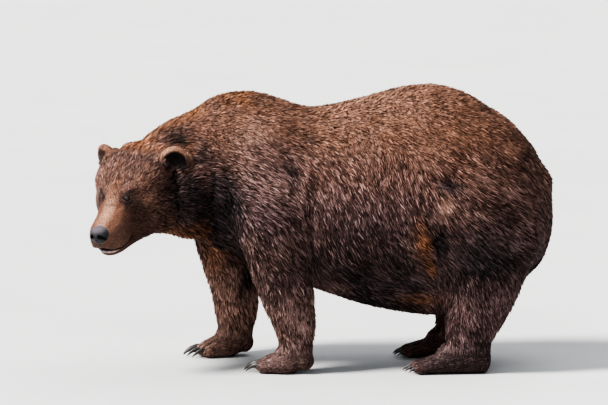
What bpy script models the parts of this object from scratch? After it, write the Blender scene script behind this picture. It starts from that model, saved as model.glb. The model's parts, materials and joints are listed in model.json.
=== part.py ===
"""A standing grizzly bear, life size, as a still museum model.

Frame: metres, +Z up, floor at z = 0. The bear faces -X, its left side is -Y.
Every solid is the outer envelope of the coat. The masses of the body are tubes
(rings lofted along a path) and ellipsoids, fused into one closed skin, which is
then parted into head, neck, trunk, legs and paws by thin cuts.
"""
import math

import bpy
import bmesh
import numpy as np
from mathutils import Matrix, Vector

# ------------------------------------------------------------------ dimensions
GAP = 0.0004            # clearance between neighbouring solids
FLOOR = 0.0

HEAD_YAW = math.radians(61)      # turned from straight ahead towards the left
HEAD_PITCH = math.radians(24.5)    # nose down
HEAD_ROLL = math.radians(1)
HEAD_AT = Vector((-0.810, -0.125, 0.885))   # middle of the cranium

EYE_RADIUS = 0.0125
EYE_AT = (0.2422, 0.0590, 0.0428)  # in the head's frame
GAZE = (0.70, 0.64, 0.30)
EAR_AT = (-0.031, 0.177, 0.062)
EAR_LIFT = 0.014           # the left ear is carried a little higher
NOSE_AT = (0.442, 0.0, -0.032)

FRONT_PAW_LEFT = dict(at=(-0.118, -0.236), toe_in=17, side=-1)
FRONT_PAW_RIGHT = dict(at=(-0.395, 0.247), toe_in=12, side=1)
HIND_PAW_LEFT = dict(at=(0.690, -0.222), toe_in=-2, side=-1)
HIND_PAW_RIGHT = dict(at=(0.648, 0.200), toe_in=-4, side=1)

FRONT_CLAW = dict(length=0.062, thick=0.0122, drop=0.026)
HIND_CLAW = dict(length=0.044, thick=0.0096, drop=0.016)
TOES = (-0.066, -0.034, 0.0, 0.034, 0.066)          # sideways places, front paw
TOE_SET_BACK = (0.030, 0.008, 0.0, 0.008, 0.026)

# trunk: x, top, bottom, half width, height of the widest line as a share
TRUNK = (
    (-0.640, 0.960, 0.800, 0.060, 0.50),
    (-0.590, 1.100, 0.680, 0.160, 0.48),
    (-0.500, 1.205, 0.590, 0.235, 0.46),
    (-0.400, 1.262, 0.525, 0.285, 0.45),
    (-0.300, 1.260, 0.470, 0.312, 0.44),
    (-0.190, 1.231, 0.425, 0.328, 0.43),
    (-0.090, 1.198, 0.385, 0.342, 0.42),
    (0.000, 1.190, 0.350, 0.358, 0.41),
    (0.110, 1.214, 0.308, 0.380, 0.41),
    (0.250, 1.252, 0.268, 0.402, 0.41),
    (0.400, 1.288, 0.242, 0.410, 0.42),
    (0.520, 1.296, 0.238, 0.410, 0.43),
    (0.640, 1.262, 0.252, 0.398, 0.44),
    (0.740, 1.210, 0.284, 0.378, 0.45),
    (0.830, 1.152, 0.330, 0.346, 0.46),
    (0.905, 1.086, 0.380, 0.305, 0.47),
    (0.965, 1.008, 0.430, 0.255, 0.48),
    (1.010, 0.920, 0.480, 0.195, 0.49),
    (1.040, 0.810, 0.550, 0.120, 0.50),
)

# neck: centre x, y, z, half width, up, down
NECK = (
    (-0.340, 0.010, 0.890, 0.250, 0.310, 0.290),
    (-0.480, 0.008, 0.880, 0.238, 0.318, 0.288),
    (-0.590, 0.002, 0.868, 0.216, 0.296, 0.262),
    (-0.680, -0.010, 0.858, 0.190, 0.262, 0.244),
    (-0.750, -0.036, 0.852, 0.172, 0.228, 0.226),
    (-0.800, -0.066, 0.850, 0.158, 0.186, 0.205),
)

# skull and muzzle, in the head's frame: x, z centre, half width, up, down
SKULL = (
    (-0.130, -0.020, 0.150, 0.105, 0.165),
    (-0.050, -0.020, 0.178, 0.124, 0.184),
    (0.020, -0.020, 0.184, 0.134, 0.190),
    (0.090, -0.024, 0.174, 0.138, 0.184),
    (0.150, -0.030, 0.154, 0.138, 0.168),
    (0.200, -0.040, 0.124, 0.130, 0.146),
    (0.245, -0.050, 0.100, 0.114, 0.124),
    (0.295, -0.056, 0.086, 0.092, 0.104),
    (0.350, -0.058, 0.081, 0.074, 0.092),
    (0.400, -0.058, 0.075, 0.065, 0.074),
    (0.430, -0.056, 0.062, 0.050, 0.052),
)
JAW = (
    (0.040, -0.155, 0.140, 0.070, 0.054),
    (0.130, -0.156, 0.118, 0.060, 0.052),
    (0.220, -0.154, 0.090, 0.050, 0.044),
    (0.300, -0.151, 0.072, 0.038, 0.037),
    (0.360, -0.148, 0.061, 0.031, 0.033),
    (0.398, -0.143, 0.046, 0.025, 0.027),
)

# legs: centre x, y, z, half width, back, front
FRONT_LEG_LEFT = (
    (-0.290, -0.190, 0.950, 0.100, 0.130, 0.130),
    (-0.255, -0.240, 0.800, 0.122, 0.160, 0.160),
    (-0.225, -0.265, 0.660, 0.122, 0.160, 0.155),
    (-0.205, -0.270, 0.590, 0.116, 0.152, 0.153),
    (-0.186, -0.268, 0.500, 0.108, 0.142, 0.144),
    (-0.162, -0.262, 0.410, 0.099, 0.128, 0.128),
    (-0.138, -0.252, 0.320, 0.090, 0.111, 0.111),
    (-0.119, -0.243, 0.235, 0.080, 0.093, 0.093),
    (-0.112, -0.237, 0.165, 0.072, 0.080, 0.079),
    (-0.113, -0.235, 0.100, 0.071, 0.078, 0.072),
)
FRONT_LEG_RIGHT = (
    (-0.330, 0.190, 0.950, 0.100, 0.130, 0.130),
    (-0.370, 0.230, 0.800, 0.122, 0.160, 0.182),
    (-0.410, 0.250, 0.680, 0.126, 0.160, 0.198),
    (-0.418, 0.260, 0.570, 0.117, 0.152, 0.174),
    (-0.406, 0.264, 0.460, 0.106, 0.138, 0.146),
    (-0.393, 0.260, 0.370, 0.097, 0.120, 0.125),
    (-0.386, 0.254, 0.290, 0.088, 0.104, 0.106),
    (-0.384, 0.249, 0.210, 0.079, 0.091, 0.093),
    (-0.386, 0.247, 0.140, 0.072, 0.081, 0.081),
    (-0.390, 0.247, 0.080, 0.071, 0.076, 0.076),
)
HIND_LEG_LEFT = (
    (0.560, -0.170, 0.900, 0.120, 0.220, 0.180),
    (0.660, -0.205, 0.770, 0.146, 0.290, 0.230),
    (0.705, -0.225, 0.650, 0.156, 0.325, 0.240),
    (0.722, -0.234, 0.560, 0.154, 0.290, 0.222),
    (0.728, -0.238, 0.470, 0.144, 0.228, 0.195),
    (0.728, -0.236, 0.390, 0.128, 0.170, 0.155),
    (0.708, -0.228, 0.310, 0.112, 0.144, 0.135),
    (0.688, -0.222, 0.235, 0.098, 0.126, 0.120),
    (0.678, -0.220, 0.170, 0.088, 0.104, 0.106),
    (0.676, -0.220, 0.100, 0.080, 0.094, 0.106),
)
HIND_SHIFT = (-0.042, 0.444)     # the right hind leg's foot against the left's

TAIL_AT = Vector((1.028, 0.0, 0.852))


# ------------------------------------------------------------------- modelling
def clear():
    for obj in list(bpy.data.objects):
        bpy.data.objects.remove(obj)


def add_object(name, bm, smooth=True):
    mesh = bpy.data.meshes.new(name)
    bmesh.ops.recalc_face_normals(bm, faces=bm.faces)
    bm.to_mesh(mesh)
    bm.free()
    obj = bpy.data.objects.new(name, mesh)
    bpy.context.scene.collection.objects.link(obj)
    if smooth:
        mesh.shade_smooth()
    return obj


def catmull(rows, steps):
    """Smooth rows between the given ones: numbers along a Catmull-Rom curve."""
    rows = [np.array(r, float) for r in rows]
    ends = [2 * rows[0] - rows[1]] + rows + [2 * rows[-1] - rows[-2]]
    out = []
    for i in range(1, len(ends) - 2):
        p0, p1, p2, p3 = ends[i - 1 : i + 3]
        for k in range(steps):
            t = k / steps
            out.append(
                0.5
                * (
                    2 * p1
                    + (p2 - p0) * t
                    + (2 * p0 - 5 * p1 + 4 * p2 - p3) * t * t
                    + (3 * p1 - p0 - 3 * p2 + p3) * t**3
                )
            )
    out.append(rows[-1])
    return out


def tube(name, rows, side=(0, 1, 0), steps=4, sides=28, caps=(0.35, 0.35), power=2.0, axis=None):
    """Rings of (centre, half width, up, down) along a path, closed with domes.
    The ring's width runs along side, and up is path x side. With an axis given,
    every ring stands square to it instead of to the path."""
    rows = catmull(rows, steps)
    centres = [Vector(r[:3]) for r in rows]
    bm = bmesh.new()
    rings = []
    last = len(rows) - 1

    def ring(centre, across, up, half, high, low, scale):
        made = []
        for k in range(sides):
            a = 2 * math.pi * k / sides
            c, s = math.cos(a), math.sin(a)
            reach = (abs(c) ** power + abs(s) ** power) ** (-1 / power)
            x, y = c * reach * half, s * reach * (high if s > 0 else low)
            made.append(bm.verts.new(centre + (across * x + up * y) * scale))
        rings.append(made)

    for i, row in enumerate(rows):
        along = Vector(axis or centres[min(i + 1, last)] - centres[max(i - 1, 0)]).normalized()
        across = (Vector(side) - along * along.dot(Vector(side))).normalized()
        up = along.cross(across)
        half, high, low = row[3:6]
        mean = (half + 0.5 * (high + low)) / 2
        if i == 0 and caps[0]:
            for a in (70, 45, 22):
                t = math.radians(a)
                ring(centres[0] - along * (mean * caps[0] * math.sin(t)), across, up, half, high, low, math.cos(t))
        ring(centres[i], across, up, half, high, low, 1.0)
        if i == last and caps[1]:
            for a in (22, 45, 70):
                t = math.radians(a)
                ring(centres[i] + along * (mean * caps[1] * math.sin(t)), across, up, half, high, low, math.cos(t))
    for a, b in zip(rings, rings[1:]):
        for k in range(sides):
            n = (k + 1) % sides
            bm.faces.new((a[k], a[n], b[n], b[k]))
    bm.faces.new(rings[0])
    bm.faces.new(rings[-1])
    return add_object(name, bm)


def ellipsoid(name, centre, radii, turn=(0, 0, 0), detail=4):
    """An icosphere stretched to its radii, turned by degrees about X, Y and Z."""
    bm = bmesh.new()
    bmesh.ops.create_icosphere(bm, subdivisions=detail, radius=1.0)
    turned = Matrix.Identity(4)
    for axis, angle in zip("XYZ", turn):
        turned = Matrix.Rotation(math.radians(angle), 4, axis) @ turned
    bm.transform(Matrix.Translation(Vector(centre)) @ turned @ Matrix.Diagonal((*radii, 1)))
    return add_object(name, bm)


def mesh_of(obj):
    """The object's mesh with its modifiers applied."""
    graph = bpy.context.evaluated_depsgraph_get()
    return bpy.data.meshes.new_from_object(obj.evaluated_get(graph))


def bake(obj):
    """Applies all modifiers of obj."""
    mesh = mesh_of(obj)
    old = obj.data
    obj.modifiers.clear()
    obj.data = mesh
    bpy.data.meshes.remove(old)
    return obj


def moved(obj, matrix):
    obj.data.transform(matrix)
    if matrix.determinant() < 0:
        obj.data.flip_normals()
    return obj


def joined(name, objects):
    """One object holding all the meshes, still overlapping."""
    bm = bmesh.new()
    for obj in objects:
        bm.from_mesh(obj.data)
        bpy.data.objects.remove(obj)
    return add_object(name, bm)


def fuse(name, objects, voxel, rounds, factor=0.5, where=None):
    """Overlapping closed meshes as one even skin, with creases rounded. where gives
    the share of the rounding at a point."""
    obj = joined(name, objects)
    remesh = obj.modifiers.new("Remesh", "REMESH")
    remesh.mode = "VOXEL"
    remesh.voxel_size = voxel
    remesh.use_smooth_shade = True
    if where:
        bake(obj)
        weigh(obj, "rounding", where)
    if rounds:
        smooth = obj.modifiers.new("Smooth", "SMOOTH")
        smooth.factor = factor
        smooth.iterations = rounds
        if where:
            smooth.vertex_group = "rounding"
    return bake(obj)


def weigh(obj, name, share):
    """A vertex group whose weight at each vertex is share(point)."""
    group = obj.vertex_groups.new(name=name)
    for vert in obj.data.vertices:
        group.add([vert.index], max(0.0, min(1.0, share(vert.co))), "REPLACE")


def boolean(obj, tool, operation, keep_tool=False):
    cut = obj.modifiers.new("Cut", "BOOLEAN")
    cut.operation = operation
    cut.object = tool
    cut.solver = "EXACT"
    bake(obj)
    if not keep_tool:
        bpy.data.objects.remove(tool)
    return obj


# ------------------------------------------------------------------------ head
def head_matrix():
    """The head's frame in the model's: +X to the nose, +Y to the bear's left, +Z to its crown."""
    heading = Vector((-math.cos(HEAD_YAW), -math.sin(HEAD_YAW), 0))
    up = Vector((0, 0, 1))
    nose = heading * math.cos(HEAD_PITCH) - up * math.sin(HEAD_PITCH)
    crown = up * math.cos(HEAD_PITCH) + heading * math.sin(HEAD_PITCH)
    left = Vector((math.sin(HEAD_YAW), -math.cos(HEAD_YAW), 0))
    side = left * math.cos(HEAD_ROLL) + crown * math.sin(HEAD_ROLL)
    crown = crown * math.cos(HEAD_ROLL) - left * math.sin(HEAD_ROLL)
    m = Matrix((nose, side, crown)).transposed().to_4x4()
    return Matrix.Translation(HEAD_AT) @ m


def ear_matrix(side):
    """The ear's frame in the head's: +X out of the cup, +Z to the tip."""
    face = Vector((0.88, side * 0.46, 0.06)).normalized()
    tip = Vector((-0.05, side * 0.36, 0.90))
    tip = (tip - face * face.dot(tip)).normalized()
    across = tip.cross(face)
    m = Matrix((face, across, tip)).transposed().to_4x4()
    at = Vector((EAR_AT[0], side * EAR_AT[1], EAR_AT[2] + (EAR_LIFT if side > 0 else 0)))
    return Matrix.Translation(at) @ m


def eye_matrix(side):
    """The eye's frame in the head's: +X out of the pupil, +Y along the slit to its outer corner."""
    gaze = Vector((GAZE[0], side * GAZE[1], GAZE[2])).normalized()
    outward = Vector((-0.62, side * 0.70, 0.34))
    outward = (outward - gaze * gaze.dot(outward)).normalized()
    m = Matrix((gaze, outward, gaze.cross(outward) * side)).transposed().to_4x4()
    return Matrix.Translation((EYE_AT[0], side * EYE_AT[1], EYE_AT[2])) @ m


def ear(side):
    shell = ellipsoid("ear_shell", (0, 0, 0.006), (0.031, 0.067, 0.071), detail=4)
    root = ellipsoid("ear_root", (-0.008, 0, -0.045), (0.044, 0.058, 0.058), detail=3)
    cup = ellipsoid("ear_cup", (0.037, 0, 0.007), (0.031, 0.051, 0.055), detail=3)
    obj = boolean(fuse("ear", [shell, root], 0.006, 2), cup, "DIFFERENCE")
    return moved(obj, ear_matrix(side))


def head_masses():
    """Skull, cheeks, brows, muzzle and jaw, in the head's frame."""
    masses = [
        tube("skull", [(x, 0, z, w, up, dn) for x, z, w, up, dn in SKULL], caps=(0.6, 0.55), power=2.15),
        tube("jaw", [(x, 0, z, w, up, dn) for x, z, w, up, dn in JAW], caps=(0.4, 0.8)),
        ellipsoid("nose", NOSE_AT, (0.035, 0.0440, 0.0355)),
        ellipsoid("throat", (0.040, 0, -0.130), (0.170, 0.150, 0.100)),
    ]
    for s in (-1, 1):
        masses += [
            ellipsoid("cheek", (0.040, s * 0.120, -0.090), (0.180, 0.100, 0.130), turn=(0, 0, -s * 16)),
            ellipsoid("ruff", (-0.080, s * 0.095, -0.050), (0.150, 0.125, 0.160)),
            ellipsoid("jowl", (0.185, s * 0.070, -0.098), (0.120, 0.064, 0.088), turn=(0, 0, -s * 16)),
            ellipsoid("temple", (0.060, s * 0.086, 0.040), (0.140, 0.092, 0.084), turn=(0, 8, 0)),
            ellipsoid("brow", (0.200, s * 0.060, 0.062), (0.056, 0.038, 0.024), turn=(0, 24, s * -16)),
            ellipsoid("lip", (0.350, s * 0.044, -0.100), (0.090, 0.042, 0.042)),
        ]
    return masses


# ------------------------------------------------------------------------ paws
def paw_matrix(paw):
    """The paw's frame: +X to the toes, +Y to the bear's left, origin on the floor under the wrist."""
    a = math.pi + math.radians(paw["toe_in"]) * paw["side"]
    return Matrix.Translation((*paw["at"], FLOOR)) @ Matrix.Rotation(a, 4, "Z")


def front_paw(paw):
    parts = [
        ellipsoid("palm", (0.060, 0, 0.040), (0.098, 0.086, 0.052)),
        ellipsoid("wrist_pad", (-0.048, 0.0, 0.062), (0.046, 0.050, 0.050)),
        ellipsoid("wrist", (0.004, 0, 0.090), (0.078, 0.068, 0.068)),
    ]
    for y, back in zip(TOES, TOE_SET_BACK):
        parts.append(ellipsoid("toe", (0.140 - back, y, 0.032), (0.048, 0.0205, 0.031), turn=(0, 8, math.degrees(y) * 1.1), detail=3))
    return [moved(o, paw_matrix(paw)) for o in parts]


def hind_paw(paw):
    parts = [
        tube(
            "sole",
            [
                (-0.050, 0, 0.060, 0.066, 0.062, 0.066),
                (0.000, 0, 0.062, 0.074, 0.070, 0.068),
                (0.080, 0, 0.052, 0.076, 0.060, 0.058),
                (0.160, 0, 0.040, 0.080, 0.044, 0.046),
                (0.215, 0, 0.034, 0.080, 0.034, 0.040),
            ],
            caps=(0.55, 0.3),
        ),
        ellipsoid("instep", (0.070, 0, 0.100), (0.100, 0.072, 0.062), turn=(0, 22, 0)),
    ]
    for y, back in zip(TOES, TOE_SET_BACK):
        parts.append(ellipsoid("toe", (0.248 - 0.8 * back, y * 0.98, 0.030), (0.042, 0.0195, 0.029), turn=(0, 8, math.degrees(y) * 0.8), detail=3))
    return [moved(o, paw_matrix(paw)) for o in parts]


def claws(paw, shape, reach, height, spread):
    """Five curved claws, as tapering tubes bent down from the toes' ends."""
    made = []
    for n, (y, back) in enumerate(zip(TOES, TOE_SET_BACK)):
        yaw = math.degrees(y) * spread
        rows = []
        for k in range(5):
            t = k / 4
            x = shape["length"] * t
            z = -shape["drop"] * t**1.9 + 0.004 * math.sin(math.pi * t)
            thick = shape["thick"] * (1.0 - 0.86 * t**1.8)
            rows.append((x, 0, z, thick * 0.68, thick, thick))
        obj = tube("claw", rows, steps=1, sides=5, caps=(0.0, 0.0))
        place = Matrix.Translation((reach - back, y, height)) @ Matrix.Rotation(math.radians(yaw), 4, "Z")
        moved(obj, paw_matrix(paw) @ place)
        obj.name = f"claw_{n + 1}"
        made.append(obj)
    return made


# ------------------------------------------------------------------------ body
def right_hind_rows():
    """The left hind leg mirrored, with its foot set a little further forward."""
    rows = []
    for x, y, z, half, back, front in HIND_LEG_LEFT:
        low = max(0.0, min(1.0, (0.75 - z) / 0.60))
        rows.append((x + HIND_SHIFT[0] * low, -y - 0.020 * low, z, half, back, front))
    return rows


def body_masses():
    trunk = []
    for x, top, bottom, half, share in TRUNK:
        middle = bottom + share * (top - bottom)
        trunk.append((x, 0, middle, half, top - middle, middle - bottom))
    masses = [
        tube("barrel", trunk, caps=(0.7, 0.16), sides=36, axis=(1, 0, 0)),
        tube("neck", NECK, side=(0, -1, 0), caps=(0.3, 0.5)),
        ellipsoid("hump", (-0.370, 0, 1.100), (0.230, 0.150, 0.168), turn=(0, -4, 0)),
        ellipsoid("chest", (-0.440, 0.010, 0.690), (0.170, 0.190, 0.160), turn=(0, 20, 0)),
        tube("front_leg_left", FRONT_LEG_LEFT, caps=(0.5, 0.2)),
        tube("front_leg_right", FRONT_LEG_RIGHT, caps=(0.5, 0.2)),
        tube("hind_leg_left", HIND_LEG_LEFT, caps=(0.5, 0.2)),
        tube("hind_leg_right", right_hind_rows(), caps=(0.5, 0.2)),
        ellipsoid("nape", (-0.600, -0.150, 0.800), (0.150, 0.125, 0.190)),
        ellipsoid("tail", TAIL_AT, (0.040, 0.042, 0.075), turn=(0, -12, 0)),
    ]
    for s, shift in ((-1, 0.0), (1, -0.09)):
        masses += [
            ellipsoid("scapula", (-0.290 + shift * 0.6, s * 0.190, 0.900), (0.190, 0.120, 0.270), turn=(0, 12, 0)),
            ellipsoid("elbow", (-0.120 + shift * 2, s * 0.275, 0.560), (0.085, 0.085, 0.110)),
            ellipsoid("haunch", (0.640, s * 0.245, 0.700), (0.290, 0.160, 0.340), turn=(0, -12, 0)),
        ]
    return masses


def envelope(voxel=0.009, rounds=64):
    """The whole outer shape of the coat as one closed mesh."""
    body = fuse("body", body_masses(), 0.014, 70, where=lambda p: 0.25 + (p.z - 0.30) / 0.35)
    head = fuse("head", head_masses(), 0.007, 14)
    ears = [ear(-1), ear(1)]
    head = fuse("head", [head] + ears, 0.006, 2)
    moved(head, head_matrix())
    paws = front_paw(FRONT_PAW_LEFT) + front_paw(FRONT_PAW_RIGHT)
    paws += hind_paw(HIND_PAW_LEFT) + hind_paw(HIND_PAW_RIGHT)
    paws = fuse("paws", paws, 0.007, 4)
    to_head = head_matrix().inverted()

    def rounding(p):
        """Most where the head meets the neck and the wrists meet the paws."""
        nape = math.exp(-(((to_head @ p).x + 0.11) / 0.07) ** 2) if p.x < -0.5 else 0.0
        wrist = 0.25 * math.exp(-((p.z - 0.13) / 0.05) ** 2)
        return max(0.05, nape, wrist)

    return fuse("bear", [body, head, paws], voxel, rounds, where=rounding)


# ----------------------------------------------------------------------- parts
# what belongs to each leg, as fat tubes round it: centre x, y, z, half width, back, front
FRONT_REACH_LEFT = (
    (-0.285, -0.400, 0.870, 0.170, 0.100, 0.100),
    (-0.262, -0.360, 0.760, 0.200, 0.180, 0.180),
    (-0.235, -0.330, 0.620, 0.205, 0.205, 0.205),
    (-0.200, -0.300, 0.500, 0.205, 0.190, 0.195),
    (-0.160, -0.270, 0.380, 0.190, 0.170, 0.180),
    (-0.130, -0.250, 0.200, 0.180, 0.170, 0.200),
    (-0.150, -0.240, -0.060, 0.180, 0.170, 0.290),
)
FRONT_REACH_RIGHT = (
    (-0.350, 0.400, 0.870, 0.170, 0.100, 0.100),
    (-0.375, 0.360, 0.760, 0.200, 0.180, 0.190),
    (-0.405, 0.330, 0.620, 0.205, 0.200, 0.215),
    (-0.408, 0.300, 0.500, 0.205, 0.190, 0.200),
    (-0.398, 0.280, 0.380, 0.190, 0.175, 0.180),
    (-0.395, 0.250, 0.200, 0.180, 0.170, 0.210),
    (-0.420, 0.245, -0.060, 0.180, 0.170, 0.290),
)
HIND_REACH = (
    (0.660, -0.420, 0.860, 0.170, 0.170, 0.170),
    (0.700, -0.370, 0.740, 0.225, 0.300, 0.260),
    (0.720, -0.325, 0.600, 0.235, 0.400, 0.280),
    (0.725, -0.290, 0.480, 0.225, 0.360, 0.260),
    (0.725, -0.265, 0.360, 0.215, 0.270, 0.190),
    (0.705, -0.250, 0.240, 0.200, 0.230, 0.165),
    (0.610, -0.240, 0.150, 0.190, 0.230, 0.330),
    (0.610, -0.230, -0.060, 0.190, 0.250, 0.350),
)
WRIST = 0.128            # height of the cut above a front paw
ANKLE = 0.142            # and above a hind paw
BODY_TRIANGLES = 1440    # how many go to each part of the coat
HEAD_TRIANGLES = 1360
PAW_TRIANGLES = 820
NAPE_CUT = -0.075        # the head's end, along the head's frame


def grown(obj, by):
    """A copy of obj with its surface moved out by the given distance."""
    copy = obj.copy()
    copy.data = obj.data.copy()
    copy.modifiers.clear()
    bpy.context.scene.collection.objects.link(copy)
    normals = [v.normal.copy() for v in copy.data.vertices]
    for vert, normal in zip(copy.data.vertices, normals):
        vert.co += normal * by
    return copy


def duplicate(obj, name):
    copy = grown(obj, 0.0)
    copy.name = name
    copy.data.name = name
    return copy


def largest(obj):
    """Keeps the biggest connected piece of the mesh."""
    bm = bmesh.new()
    bm.from_mesh(obj.data)
    bm.verts.ensure_lookup_table()
    seen, pieces = set(), []
    for vert in bm.verts:
        if vert.index in seen:
            continue
        stack, piece = [vert], []
        seen.add(vert.index)
        while stack:
            v = stack.pop()
            piece.append(v)
            for edge in v.link_edges:
                other = edge.other_vert(v)
                if other.index not in seen:
                    seen.add(other.index)
                    stack.append(other)
        pieces.append(piece)
    pieces.sort(key=len, reverse=True)
    for piece in pieces[1:]:
        bmesh.ops.delete(bm, geom=piece, context="VERTS")
    bm.to_mesh(obj.data)
    bm.free()
    return obj


def tidy(obj):
    """Welds the tiny edges a cut leaves, so that the solid stays clean."""
    bm = bmesh.new()
    bm.from_mesh(obj.data)
    bmesh.ops.remove_doubles(bm, verts=bm.verts, dist=0.00003)
    bmesh.ops.dissolve_degenerate(bm, edges=bm.edges, dist=0.00003)
    bmesh.ops.triangulate(bm, faces=bm.faces)
    bm.to_mesh(obj.data)
    bm.free()
    return largest(obj)


def split_off(obj, region, name):
    """Takes the part of obj inside the region away as its own object, a gap apart."""
    piece = boolean(duplicate(obj, name), region, "INTERSECT", keep_tool=True)
    wide = grown(region, GAP * 1.35)
    bpy.data.objects.remove(region)
    boolean(obj, wide, "DIFFERENCE")
    largest(obj)
    return largest(piece)


def cut_level(obj, height, name):
    """Cuts obj at a height: it keeps the upper part, and the lower is returned."""
    lower = duplicate(obj, name)
    for part, level, up in ((lower, height - GAP / 2, 1), (obj, height + GAP / 2, -1)):
        bm = bmesh.new()
        bm.from_mesh(part.data)
        geom = bm.verts[:] + bm.edges[:] + bm.faces[:]
        bmesh.ops.bisect_plane(bm, geom=geom, plane_co=(0, 0, level), plane_no=(0, 0, up), clear_outer=True)
        rim = [e for e in bm.edges if e.is_boundary]
        bmesh.ops.edgeloop_fill(bm, edges=rim)
        bmesh.ops.recalc_face_normals(bm, faces=bm.faces)
        bm.to_mesh(part.data)
        bm.free()
    return lower


def block(name, low, high, matrix=None):
    """A box between two corners, placed by a matrix."""
    bm = bmesh.new()
    bmesh.ops.create_cube(bm, size=1.0)
    low, high = Vector(low), Vector(high)
    bm.transform(Matrix.Translation((low + high) / 2) @ Matrix.Diagonal((*(high - low), 1)))
    if matrix:
        bm.transform(matrix)
    return add_object(name, bm, smooth=False)


def wedge(name, corners, half):
    """A prism: a polygon in the head's XZ plane, half wide each way along Y."""
    bm = bmesh.new()
    near = [bm.verts.new((x, -half, z)) for x, z in corners]
    far = [bm.verts.new((x, half, z)) for x, z in corners]
    bm.faces.new(near)
    bm.faces.new(far[::-1])
    for k in range(len(corners)):
        n = (k + 1) % len(corners)
        bm.faces.new((near[k], far[k], far[n], near[n]))
    bm.transform(head_matrix())
    return add_object(name, bm, smooth=False)


def hind_reach(side):
    if side < 0:
        return HIND_REACH
    rows = []
    for x, y, z, half, back, front in HIND_REACH:
        low = max(0.0, min(1.0, (0.75 - z) / 0.60))
        rows.append((x + HIND_SHIFT[0] * low, -y - 0.020 * low, z, half, back, front))
    return rows


def fine_zone(p, to_head):
    """Whether a point is on the head (1), on a paw (2) or elsewhere (0)."""
    at = to_head @ p
    if abs(at.y) < 0.24 and -0.10 < at.x and abs(at.z) < 0.26 and p.x < -0.55:
        return 1
    return 2 if p.z < 0.15 else 0


def thin_out(obj, kept, triangles):
    """Decimates obj to about so many triangles outside the zones that are kept."""
    to_head = head_matrix().inverted()
    zones = [fine_zone(face.center, to_head) in kept for face in obj.data.polygons]
    weigh(obj, "kept", lambda p: 1.0 if fine_zone(p, to_head) in kept else 0.0)
    decimate = obj.modifiers.new("Decimate", "DECIMATE")
    decimate.ratio = (sum(zones) + triangles) / len(zones)
    decimate.vertex_group = "kept"
    decimate.invert_vertex_group = True
    bake(obj)
    obj.vertex_groups.clear()
    return obj


def lightened(bear):
    """The coat's envelope with few triangles, spent where the shape is fine."""
    triangulate = bear.modifiers.new("Triangulate", "TRIANGULATE")
    triangulate.min_vertices = 4
    bake(bear)
    thin_out(bear, (1, 2), BODY_TRIANGLES)
    thin_out(bear, (0, 2), HEAD_TRIANGLES)
    return thin_out(bear, (0, 1), PAW_TRIANGLES)


def eye(side):
    """The eyeball and what it needs cleared around it."""
    at = Vector((EYE_AT[0], side * EYE_AT[1], EYE_AT[2]))
    ball = ellipsoid("eye_left" if side > 0 else "eye_right", at, (EYE_RADIUS,) * 3, detail=2)
    return moved(ball, head_matrix())


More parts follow.
